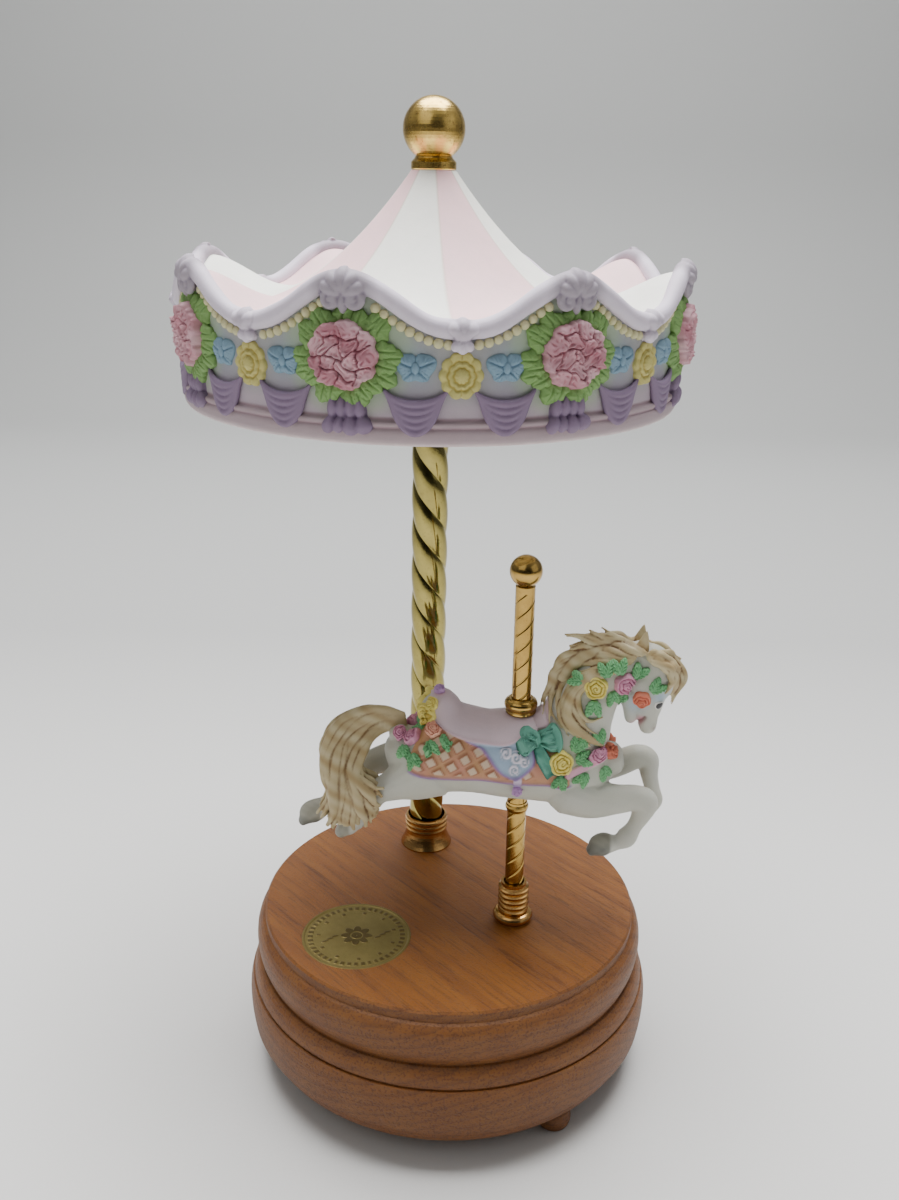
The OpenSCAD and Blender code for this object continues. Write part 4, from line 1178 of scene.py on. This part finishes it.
def blanket_lattice(xz):
    """Distance from the middle of the nearest small square; the rows follow the blanket's slope."""
    along = xz[:, 0] * 0.80 + xz[:, 1] * 0.52
    across = xz[:, 1] * 0.86 - xz[:, 0] * 0.44
    return np.maximum(np.abs((along / 4.5) % 1 - 0.5) * 4.5, np.abs((across / 4.2) % 1 - 0.5) * 4.2)


MOTIF_CURLS = ((-2.6, 2.2, 2.1, 150), (0.6, 1.2, 2.0, 40), (3.2, 0.2, 1.7, 10), (0.2, -2.4, 1.9, 260))


def flap_motif(xz):
    """A pale scroll of four curls on the flap."""
    x, z = xz[:, 0] + 2.2, xz[:, 1] - 66.0
    curls = np.zeros(len(xz))
    for cx, cz, size, turn in MOTIF_CURLS:
        rho = np.hypot(x - cx, z - cz) / size
        phi = np.arctan2(z - cz, x - cx) - math.radians(turn)
        spiral = (rho * 1.6 - phi / TURN) % 1
        curls = np.maximum(curls, step(rho, 1.0, 0.85) * step(np.abs(spiral - 0.5), 0.40, 0.24))
    return curls


def hoof_mask(points):
    """1 on the four hooves."""
    x, y, z = points.T
    near_fore = step(x, 31.4, 30.2) * step(z, 41, 40) * step(x, 15, 16) * step(y, -1, -2)
    far_fore = step(z, 40.2, 39.2) * step(x, 37, 38) * step(x, 45.4, 44.6) * step(y, 1, 2)
    near_hind = step(x, -55.0, -56.0) * step(y, -1, -2) * step(z, 43, 42)
    far_hind = step(x, -66.0, -67.0) * step(y, 1, 2)
    return np.clip(near_fore + far_fore + near_hind + far_hind, 0, 1)


def horse_masks(points):
    """How far each point belongs to the parts of the tack and face, from 0 to 1."""
    x, y, z = points.T
    xz = points[:, [0, 2]]
    in_blanket, in_saddle, in_flap = (inside(xz, edge) for edge in (BLANKET_EDGE, SADDLE_EDGE, FLAP_EDGE))
    body = np.where((z > 52) & (x < 20) & (x > -40), 1.0, 0.0)
    on_side = step(np.abs(y), 0.5, 2.0)
    m = SimpleNamespace()
    m.blanket = step(in_blanket, -0.15, 0.35) * body
    m.saddle = step(in_saddle, -0.2, 0.4) * body
    m.flap = step(in_flap, -0.15, 0.35) * body
    m.strap = step(along_line(xz, STRAP_LINE), 1.5, 1.1) * body * on_side
    m.breast = step(along_line(xz, BREAST_LINE), 1.5, 1.1) * step(z, 58, 59) * on_side
    m.low_pipe = bell(along_line(xz, PIPING_LOW), 0.6) * body
    m.flap_pipe = bell(in_flap, 0.55) * body * (1 - m.saddle)
    m.saddle_pipe = bell(in_saddle - 0.5, 0.5) * body * step(z, 85, 80)
    m.squares = step(blanket_lattice(xz), 1.75, 1.4) * m.blanket * (1 - m.flap) * (1 - m.saddle)
    m.squares *= step(in_blanket, 1.2, 2.0) * step(x, 6, 2)
    m.scroll = flap_motif(xz) * m.flap * (1 - m.saddle) * on_side * step(in_flap, 0.6, 1.2)
    m.mouth = bell(along_line(xz, MOUTH_LINE), 0.55)
    m.nostril = bell(x - 43.4, 0.8) * bell(z - 74.3, 0.9) * step(np.abs(y), 0.8, 1.4)
    return m


def horse_relief(m):
    """How far the tack stands out and the mouth and nostrils sink in."""
    layers = 0.55 * m.blanket + 0.5 * m.flap * (1 - m.saddle) + 0.85 * m.saddle
    straps = 0.7 * m.strap * (1 - m.flap) + 0.7 * m.breast
    trims = 0.65 * m.low_pipe + 0.55 * m.flap_pipe + 0.35 * m.saddle_pipe + 0.5 * m.squares + 0.5 * m.scroll
    return layers + straps + trims - 0.9 * m.mouth - 0.6 * m.nostril


def horse_colours(points, m):
    """The painted colours: shaded bisque, tack, blushed face, painted shade in the mouth and nostrils, and
    hooves darker towards the bottom.
    """
    x, y, z = points.T
    xz = points[:, [0, 2]]
    shade = step(np.sin(x * 0.21 + 1.0) * np.cos(z * 0.17), 0.2, 1.0) * 0.2
    patches = np.sin(x * 0.5 + 2) * np.sin(z * 0.45 + 1) * 0.5 + 0.5
    trim = step(np.hypot(x + 26.6, (z - 86) * 0.8), 2.6, 1.4) * step(z, 83.5, 85)
    cheek = bell(x - 36.8, 3.2) * bell(z - 83.6, 3.6) + bell(x - 44, 3) * bell(z - 86.4, 2.6)
    grain = 0.5 + 0.5 * np.sin(x * 1.7 + y * 2.1) * np.sin(z * 1.9 + 1)
    hoof = mixed(HOOF, HOOF_DARK, step(z, 36.5, 33.2) * 0.7 + 0.2 * grain)
    return layered(
        BISQUE,
        (BISQUE_GREY, shade),
        (mixed(BLANKET, BLANKET_WARM, patches), m.blanket),
        (BLANKET_LINE, m.squares * 0.9),
        (BLANKET_PALE, m.squares * step(blanket_lattice(xz), 1.3, 0.95)),
        (FLAP, m.flap),
        (MOTIF, m.scroll),
        (STRAP, m.strap * (1 - m.flap) * 0.9),
        (BREAST_STRAP, m.breast * 0.9),
        (SADDLE, m.saddle),
        (SADDLE_TRIM, np.maximum(m.saddle_pipe * 0.15, trim)),
        (PIPING, np.maximum(m.low_pipe, m.flap_pipe) * 0.95),
        (CHEEK_BLUE, np.clip(cheek, 0, 1) * 0.75),
        (LIP_PINK, bell(along_line(xz, LIP_LINE), 1.1) * 0.85),
        (MOUTH_DARK, np.maximum(m.mouth, m.nostril) * 0.7),
        (hoof, hoof_mask(points)),
    )


def build_horse():
    """The horse's body, and a tree of its surface for the pieces that lie on it."""
    parts = trunk()
    for side in SIDES:
        parts += face_parts(side)
    points, faces = fused(parts + near_legs() + far_legs(), 0.44, 6)
    mesh = make_mesh("measuring", (points, faces))
    normals = read(mesh.vertices, "normal", 3)
    bpy.data.meshes.remove(mesh)
    masks = horse_masks(points)
    raised = points + normals * horse_relief(masks)[:, None]
    obj = bisque_piece("horse_body", to_row((raised, faces)), "horse")
    # BISQUE_GROOVE browns the body's grooves: partly a brown wash, partly painted shade.
    paint(obj, layered(horse_colours(points, masks), (BISQUE_GROOVE, crease(obj, 10, 0.5) * 0.35)))
    return obj, BVHTree.FromPolygons([tuple(p) for p in raised], faces)


horse_body, skin = build_horse()
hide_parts("horse")

# ---------------------------------------------------------------- mane and tail

MANE_LOCKS = [
    [(37, 101.6), (30, 103.8), (22, 103.6), (13.4, 105.2)],
    [(38.5, 101.8), (33.5, 103.6), (29, 105.6), (24.4, 107.2)],
    [(36, 101.2), (29, 102.6), (21, 101.8), (14.8, 101.4)],
    [(35, 100.0), (27, 101.0), (18, 99.6), (11.4, 96.4), (9.0, 91.0)],
    [(34, 99.0), (25, 99.0), (16, 96.4), (10.6, 90.4), (8.0, 84.4), (6.6, 79.6)],
    [(33, 98.0), (24, 97.0), (16, 93.6), (11.4, 87.2), (9.8, 81.4), (12.4, 76.2)],
    [(32, 97.0), (24, 95.0), (17, 91.0), (13.4, 85.0), (13.2, 79.2), (18.4, 73.0)],
    [(31.6, 96.6), (23.8, 94.0), (17.4, 89.8), (14.6, 84.0), (16.0, 78.2), (22.6, 72.2), (26.6, 69.8)],
    [(31, 96.2), (23.5, 93.0), (17.6, 88.6), (16.0, 83.4), (18.8, 78.6), (24.4, 74.6)],
    [(28, 95.4), (21.6, 91.4), (17.8, 87.0), (17.8, 82.6), (21.6, 79.6), (25.8, 79.6)],
]
FORELOCK = [
    [(39.5, 101.0), (44.4, 101.2), (49.6, 97.6), (52.0, 91.8), (50.6, 86.4), (48.2, 82.6)],
    [(39.0, 99.8), (44.6, 98.8), (48.6, 95.2), (50.0, 90.6), (48.6, 85.8)],
    [(40.5, 98.6), (44.4, 97.2), (47.2, 94.2), (47.0, 90.6), (44.8, 88.8)],
    [(38.5, 101.4), (42.0, 101.6), (46.8, 100.2), (50.4, 97.2)],
]
TAIL_GUIDES = np.array([
    [(-38, 76.8), (-44, 78.6), (-51.3, 78.6), (-58.8, 75.4),
     (-63.2, 68.8), (-62.6, 60), (-62.0, 53), (-65.2, 46.4)],
    [(-38, 75.0), (-44.6, 75.6), (-51, 74.0), (-56.8, 69.0),
     (-58.8, 61.6), (-58.6, 53), (-59.6, 46), (-60.6, 41)],
    [(-38, 73.6), (-45.4, 73.2), (-51.0, 70.6), (-55.0, 65.2),
     (-55.8, 58.6), (-54.4, 51), (-53.6, 45), (-54.0, 40.4)],
    [(-38, 72.8), (-45.2, 72.0), (-50.2, 69.2), (-53.4, 64.0),
     (-53.6, 58.6), (-50.6, 52.6), (-48.0, 48), (-47.0, 43.8)],
    [(-38, 72.2), (-45, 71.0), (-49.2, 68.0), (-51.8, 63.6),
     (-52.2, 59.6), (-50.0, 56.6), (-47.0, 55.6), (-43.6, 55.0)],
])


def seen_skin(x, z, side):
    """The body's surface at (x, z) seen from that side, as ray_cast gives it."""
    well_outside = 40
    return skin.ray_cast(Vector((x, side * well_outside, z)), Vector((0, -side, 0)))


def strand(path, radius, side, lift, spread):
    """A lock of hair that lies on the body where there is body under it."""
    count, flat, tip = 30, 0.8, 0.3
    line = smooth_path(path, count)
    under = [seen_skin(x, z, side)[0] for x, z in line]
    y = np.array([0.0 if hit is None else hit.y + side * lift for hit in under])
    for _ in range(6):
        y[1:-1] = (y[:-2] + 2 * y[1:-1] + y[2:]) / 4
    t = np.linspace(0, 1, count)
    wave = 0.45 * np.sin(TURN * (2.2 * t + rng.uniform(0, 1))) * step(t, 0.05, 0.3)
    heading = unit(np.gradient(line, axis=0))
    line = line + np.stack([-heading[:, 1], heading[:, 0]], -1) * wave[:, None]
    size = radius * (0.55 + 0.45 * step(t, 0, 0.25)) * (1 - (1 - tip) * step(t, 0.6, 1.0))
    return sweep(np.stack([line[:, 0], y + side * spread, line[:, 1]], -1), size, size * flat, 9)


def hair_between(locks, spacing, side, lift, spread):
    """Strands side by side from each guide lock to the next, thinner where the locks crowd."""
    parts = []
    guides = [smooth_path(lock, 12) for lock in locks]
    for one, two in zip(guides[:-1], guides[1:]):
        gap = float(np.linalg.norm(one - two, axis=1)[3:9].mean())
        fill = max(1, round(gap / spacing))
        for k in range(fill):
            shift = np.array([rng.uniform(-0.25, 0.25), rng.uniform(-0.25, 0.25)])
            radius = 0.66 * gap / fill * rng.uniform(0.9, 1.15)
            own_lift = lift + rng.uniform(-0.35, 0.35)
            parts.append(strand(one + (two - one) * (k / fill) + shift, radius, side, own_lift, spread))
    parts.append(strand(guides[-1], 0.62 * spacing, side, lift, spread))
    return parts


def mane_parts():
    """The locks and an ear on each side, with the crest and brow they grow from."""
    parts = []
    for side in SIDES:
        parts += hair_between(MANE_LOCKS[2:], 1.9, side, 0.6, 0.0)
        parts += hair_between(MANE_LOCKS[:3], 1.8, side, 0.5, 1.0)
        parts += hair_between(FORELOCK, 1.7, side, 0.5, 1.0)
        parts.append(limb([(37.0, side * 2.4, 100, 2.6, 1.9), (37.6, side * 2.9, 103.4, 2.1, 1.5),
                           (38.2, side * 3.0, 106.4, 1.1, 0.8), (38.5, side * 3.0, 108.2, 0.3, 0.3)], 14, 12))
    crest = spine([(13, 91, 2.2, 1.8), (17, 96.4, 2.6, 2.2), (24, 100, 3.2, 2.8), (33, 100.6, 2.8, 3.0),
                   (40, 99, 2.6, 3.0)], 24, 16)
    brow = spine([(42, 97.6, 3.6, 4.2), (46.6, 94.6, 3.2, 3.6), (48.6, 90, 2.2, 2.8),
                  (48, 86.5, 1.2, 1.8)], 20, 14)
    return parts + [crest, brow]


def tail_strand(path, radius, y_low):
    """A wavy lock that swings out to y_low and ends in a thin tip."""
    count = 36
    line = smooth_path(path, count)
    t = np.linspace(0, 1, count)
    wave = 0.5 * np.sin(TURN * (3 * t + rng.uniform(0, 1))) * step(t, 0.1, 0.3)
    size = radius * (0.5 + 0.5 * step(t, 0, 0.3)) * (1 - 0.6 * step(t, 0.75, 1.0))
    points = np.stack([line[:, 0] + wave, y_low * step(t, 0.1, 0.75), line[:, 1] + 0.5 * wave], -1)
    return sweep(points, size, size * 0.85, 10)


def tail_parts():
    """Three layers of locks, spread between the guides."""
    parts = []
    for y_low, spacing in ((-8.5, 0.2), (-5.0, 0.25), (-11.5, 0.25)):
        for upper, lower in zip(TAIL_GUIDES[:-1], TAIL_GUIDES[1:]):
            for t in np.arange(0.0, 1.01, spacing):
                shift = np.array([rng.uniform(-0.4, 0.4), rng.uniform(-0.4, 0.4)])
                path = upper * (1 - t) + lower * t + shift
                path[-1] += (path[-1] - path[-2]) * rng.uniform(-0.25, 0.05)
                parts.append(tail_strand(path, rng.uniform(1.25, 1.75), y_low + rng.uniform(-0.9, 0.9)))
    return parts


def paint_hair(obj, depth):
    """Cream and tan locks, brown in the grooves: the figure's own brown wash there, deepened as painted
    shade.
    """
    p = points_of(obj.data)
    streak = 0.5 + 0.5 * np.sin(p[:, 0] * 0.7 + p[:, 2] * 1.1) * np.sin(p[:, 2] * 0.31 + p[:, 0] * 0.2)
    groove = np.clip(crease(obj, 16, depth) + 0.5 * crease(obj, 5, depth * 0.5), 0, 1)
    paint(obj, layered(HAIR, (HAIR_TAN, streak * 0.8), (HAIR_DARK, groove * 0.95)))


mane = bisque_piece("horse_mane", to_row(fused(mane_parts(), 0.32, 0)), "horse")
paint_hair(mane, 0.2)
tail = bisque_piece("horse_tail", to_row(fused(tail_parts(), 0.34, 0)), "horse")
paint_hair(tail, 0.24)

# ---------------------------------------------------------------- flowers, bow and eyes


def on_skin(part, x, z, side, turn, lift):
    """A relief part (forward, up, out) laid on the horse's skin round the point (x, z)."""
    points, faces = moved(part, turn=turn)
    hit = seen_skin(x, z, side)
    if hit[0] is None:
        hit = skin.find_nearest(Vector((x, side * 6, z)))
    own_share = 0.4
    anchor, normal = np.array(hit[0]), np.array(hit[1])
    across = unit(np.array([1.0, 0, 0]) - normal * normal[0])
    up = np.cross(normal, across)
    if up[2] < 0:
        up = -up
    laid = []
    for u, v, w in points:
        near, face_normal = skin.find_nearest(Vector(anchor + across * u + up * v))[:2]
        out = own_share * np.array(face_normal) + (1 - own_share) * normal
        laid.append(np.array(near) + out * (w + lift))
    if np.dot(np.cross(across, up), normal) < 0:
        faces = [f[::-1] for f in faces]
    return np.array(laid), faces


def small_rose(size):
    """A rose: a tight bud inside two rounds of rolled petals."""
    offset = rng.uniform(0, TURN)

    def face(x, y, rho, phi):
        outer = np.abs(np.cos(2.5 * (phi + offset))) ** 0.6
        inner = np.abs(np.sin(2.5 * (phi + offset) + 0.5)) ** 0.6
        rolls = 0.75 * outer * bell(rho - 0.86, 0.13) + 0.9 * inner * bell(rho - 0.55, 0.11)
        spiral = (rho * 4.2 - phi / TURN) % 1
        bud = step(rho, 0.42, 0.32) * (0.5 + 0.5 * step(np.abs(spiral - 0.5), 0.42, 0.2))
        gap = bell(rho - 0.70, 0.05) + bell(rho - 0.42, 0.05)
        return step(rho, 1.0, 0.92) * (1.6 * dome(rho, 0.62) + rolls + bud - 0.45 * gap) * size / 4

    return pad(oval(size, size, 60, 5, 0.12), face, 20, 1.2)


def leaflet(length, width):
    """A feathered leaf with a strong midrib and barbed sides."""
    a = round_angles(48)
    edge = outline(a, length / 2, width / 2 * (1 - 0.25 * np.cos(a)) * (1 - 0.2 * np.abs(np.sin(6 * a))))

    def face(x, y, rho, phi):
        barbs = 0.28 * np.cos((x * 1.3 - np.abs(y) * 1.5) * 4.2) * step(np.abs(y), 0.1, 0.4)
        return 1.0 - 0.6 * rho ** 2 + barbs - 0.4 * bell(y, 0.22)

    return moved(pad(edge, face, 9), (length / 2, 0, 0))


def sprig():
    """Two leaves that part from one stalk."""
    return merged([moved(leaflet(5.6, 3.1), (0, 0, 0.1), turn) for turn in (22, -22)])


def horse_piece(name, parts, light, dark, depth=0.22):
    """A two-tone piece of the horse's porcelain, made in the horse's own numbers."""
    obj = bisque_piece(name, to_row(merged(parts)), "horse")
    two_tone(obj, light, dark, depth, 6)


ROSES = {
    "horse_roses_yellow": (HORSE_YELLOW, srgb(190, 160, 60), [
        (12.8, 65.9, 4.2), (23.2, 90.0, 4.0), (-30.0, 78.9, 3.7), (-30.7, 84.0, 2.6), (-37.0, 80.0, 2.4)]),
    "horse_roses_pink": (HORSE_ROSE, srgb(160, 78, 112), [
        (25.3, 67.0, 3.9), (32.4, 91.3, 3.9), (-39.0, 73.4, 2.8), (-35.3, 72.1, 3.4)]),
    "horse_roses_orange": (HORSE_ORANGE, srgb(160, 60, 44), [(30.3, 68.5, 2.8), (38.0, 86.2, 3.2)]),
    "horse_roses_peach": (PEACH, srgb(196, 104, 88), [(-28.4, 75.6, 2.8)]),
}
for rose_name, (light, dark, spots) in ROSES.items():
    horse_piece(rose_name, [on_skin(small_rose(size), x, z, side, rng.uniform(0, 360), 0.6)
                            for x, z, size in spots for side in SIDES], light, dark)

LEAF_SPOTS = [
    (16.7, 69.4, 60, 0.3), (17.6, 66.4, 10, 0.3), (20.4, 70.2, 130, 0.3), (13.6, 61.6, -110, 0.3),
    (21.0, 62.2, -120, 0.3), (26.6, 63.0, -60, 0.3), (25.4, 70.4, 100, 0.3), (19.6, 91.4, 160, 2.0),
    (26.4, 93.8, 100, 2.0), (30.2, 95.0, 95, 2.0), (35.4, 93.2, 60, 1.0), (22.7, 86.0, -95, 2.0),
    (28.6, 88.6, -80, 0.4), (-37.0, 69.0, -110, 0.3), (-34.6, 68.0, -80, 0.3), (-34.4, 76.4, 100, 0.3),
    (-29.4, 72.6, -70, 0.3), (-26.0, 73.8, -20, 0.3), (34.0, 86.0, 190, 0.3), (40.6, 88.8, 40, 0.3),
]
leaf_parts = [on_skin(sprig(), x, z, side, turn if side < 0 else 180 - turn, lift)
              for x, z, turn, lift in LEAF_SPOTS for side in SIDES]
horse_piece("horse_leaves", leaf_parts, HORSE_GREEN, HORSE_GREEN_DARK)


def bow_loop(length, width):
    """A puffed loop of ribbon, folded deeply towards the knot."""
    a = round_angles(48)

    def face(x, y, rho, phi):
        reach = (x + length / 2) / length
        spread = width * (0.16 + 0.34 * reach)
        folds = 0.75 * np.cos(y / spread * 2.3 * np.pi) * step(reach, 0.95, 0.25)
        hollow = bell(reach - 0.72, 0.16) * bell(y, 0.2 * width)
        return step(rho, 1.0, 0.86) * (2.6 - 0.9 * rho ** 2 + folds - hollow)

    edge = outline(a, length / 2, width / 2 * (1 + 0.45 * np.cos(a)) / 1.2)
    return moved(pad(edge, face, 20), (length / 2, 0, 0))


def ribbon_tail(length, width):
    """A flat ribbon end with a lengthwise fold and a notched tip."""
    along = np.linspace(0, 1, 16)
    flare = width * (0.34 + 0.16 * along)
    x = length * (along - 0.5)
    edge = np.concatenate([np.stack([x, flare], -1), [(length * 0.4, 0.0)], np.stack([x, -flare], -1)[::-1]])

    def face(x, y, rho, phi):
        return 1.0 + 0.4 * np.cos(y * 2.4 + 0.6) * rho + 0.2 * np.sin(x * 1.1)

    return moved(pad(edge, face, 8), (length / 2, 0, 0))


def bow_knot_pad():
    """The gathered knot in the middle of the bow."""
    return pad(oval(1.8, 2.9, 24), lambda x, y, rho, phi: 3.6 - 1.2 * rho ** 2, 8)


bow_parts, bud_parts = [], []
for side in SIDES:
    bow_parts.append(on_skin(bow_loop(9.6, 11.0), 4.2, 72.2, side, 8, 0.5))
    bow_parts.append(on_skin(bow_loop(8.2, 11.2), 3.4, 71.8, side, 174, 0.5))
    bow_parts.append(on_skin(bow_knot_pad(), 3.8, 72.4, side, 0, 0.0))
    bow_parts.append(on_skin(ribbon_tail(13.4, 5.2), 4.6, 70.8, side, -62, 0.6))
    bud_parts.append(on_skin(small_rose(2.0), -1.0, 56.0, side, 0, 0.4))
    bud_parts.append(on_skin(small_rose(1.9), -26.5, 85.4, side, 40, 0.6))
horse_piece("horse_bow", bow_parts, TEAL, TEAL_DARK, 0.35)
horse_piece("horse_buds", bud_parts, srgb(190, 150, 200), srgb(120, 70, 130))


def eye_material():
    g = Graph("eye_gloss")
    grain = g.mix(g.noise(g.coords(), 900, 2, 0.5), srgb(255, 255, 255), srgb(244, 242, 240))
    tone = g.times_colour(grain, g.painted())
    return g.set(Base_Color=tone, Roughness=0.3, Coat_Weight=0.3, Coat_Roughness=0.05)


def eye_disc(side, radius, lift):
    """An eyeball, or with a smaller radius and more lift its pupil."""
    part = pad(oval(radius, radius * 1.05, 24), lambda x, y, rho, phi: 0.9 - 0.55 * rho ** 2, 6, 0.5)
    return on_skin(part, 43.9, 83.4, side, -20, lift)


eye_discs = [eye_disc(side, radius, lift) for side in SIDES for radius, lift in ((1.5, 0.1), (1.3, 0.25))]
is_pupil = np.concatenate([[k % 2] * len(part[0]) for k, part in enumerate(eye_discs)])
eyes = piece("horse_eyes", to_row(merged(eye_discs)), "horse", eye_material())
paint(eyes, mixed(srgb(240, 240, 238), srgb(16, 14, 18), is_pupil))

# ---------------------------------------------------------------- stage


def stage_material():
    """Paper that darkens from the front towards the back: painted shade standing in for the light's falloff.
    """
    g = Graph("studio_paper")
    place = g.node("ShaderNodeNewGeometry").outputs["Position"]
    depth = g.calc("MULTIPLY_ADD", g.xyz(place)["Y"], 0.5, 0.5)
    tone = g.ramp(depth, [(0.25, srgb(247, 245, 241)), (0.48, srgb(214, 213, 211)),
                          (0.70, srgb(172, 172, 171)), (0.95, srgb(180, 181, 180))])
    tone = g.mix(g.times(g.noise(g.coords(), 700, 3, 0.6), 0.06), tone, srgb(120, 120, 120))
    return g.set(Base_Color=tone, Roughness=0.55, Specular_IOR_Level=0.3)


def backdrop():
    """Floor that curves up into a wall behind the object."""
    radius, back, front, half, height = 350, 1100, -1600, 1800, 1500
    bend = [(back + radius * math.sin(a), radius * (1 - math.cos(a))) for a in np.linspace(0, np.pi / 2, 16)]
    profile = [(front, 0.0), *bend, (back + radius, height)]
    points = [(s * half, y, z) for y, z in profile for s in SIDES]
    faces = [[2 * i, 2 * i + 1, 2 * i + 3, 2 * i + 2] for i in range(len(profile) - 1)]
    obj = smooth_object("backdrop", (points, faces), stage_material())


def area_light(name, place, target, size, power, colour=(1, 1, 1)):
    data = bpy.data.lights.new(name, "AREA")
    data.shape = "RECTANGLE"
    data.size, data.size_y = size
    data.energy = power
    data.color = colour
    lamp = linked(name, data)
    lamp.location = place
    lamp.rotation_euler = (Vector(target) - Vector(place)).to_track_quat("-Z", "Y").to_euler()


def studio_world():
    """A bright ceiling, paler walls and a dim side in front, as a soft box gives."""
    g = Graph("studio_world", "worlds", "Background")
    sky = g.xyz(g.node("ShaderNodeTexCoord").outputs["Generated"])
    height = g.ramp(sky["Z"], [(0.0, (0.35, 0.35, 0.36)), (0.75, 1.0)])
    front = g.node("ShaderNodeMapRange", Value=sky["Y"], From_Min=-0.95, From_Max=0.1,
                   To_Min=0.12, To_Max=1.0)
    g.set(Color=g.times_colour(height, front.outputs[0]), Strength=0.45)
    bpy.context.scene.world = g.owner


def studio():
    backdrop()
    studio_world()
    area_light("key", (-0.65, -0.8, 1.05), (0, 0, 0.15), (1.1, 1.0), 3.0, (1, 0.99, 0.97))
    area_light("fill", (1.1, -0.5, 0.7), (0, 0, 0.15), (1.1, 0.9), 1.5, (0.97, 0.98, 1))
    area_light("top", (0, 0.3, 1.4), (0, 0.0, 0.1), (1.2, 1.0), 56.0)


def camera():
    """The camera stands a little above the canopy's rim and looks down at the horse."""
    pitch, yaw, roll = math.radians(19.617), math.radians(-0.257), math.radians(1.0)
    ahead = Vector((math.sin(yaw) * math.cos(pitch), math.cos(yaw) * math.cos(pitch), -math.sin(pitch)))
    right = Vector((math.cos(yaw), -math.sin(yaw), 0))
    up = right.cross(ahead)
    tilted_right = right * math.cos(roll) + up * math.sin(roll)
    tilted_up = up * math.cos(roll) - right * math.sin(roll)
    data = bpy.data.cameras.new("camera")
    data.lens = 35.63
    data.sensor_width = 36
    data.clip_start = 0.01
    cam = linked("camera", data)
    place = (0, -0.36556, 0.2988)
    facing = Matrix((tilted_right, tilted_up, -ahead)).transposed().to_4x4()
    cam.matrix_world = Matrix.Translation(place) @ facing
    bpy.context.scene.camera = cam


camera()
studio()
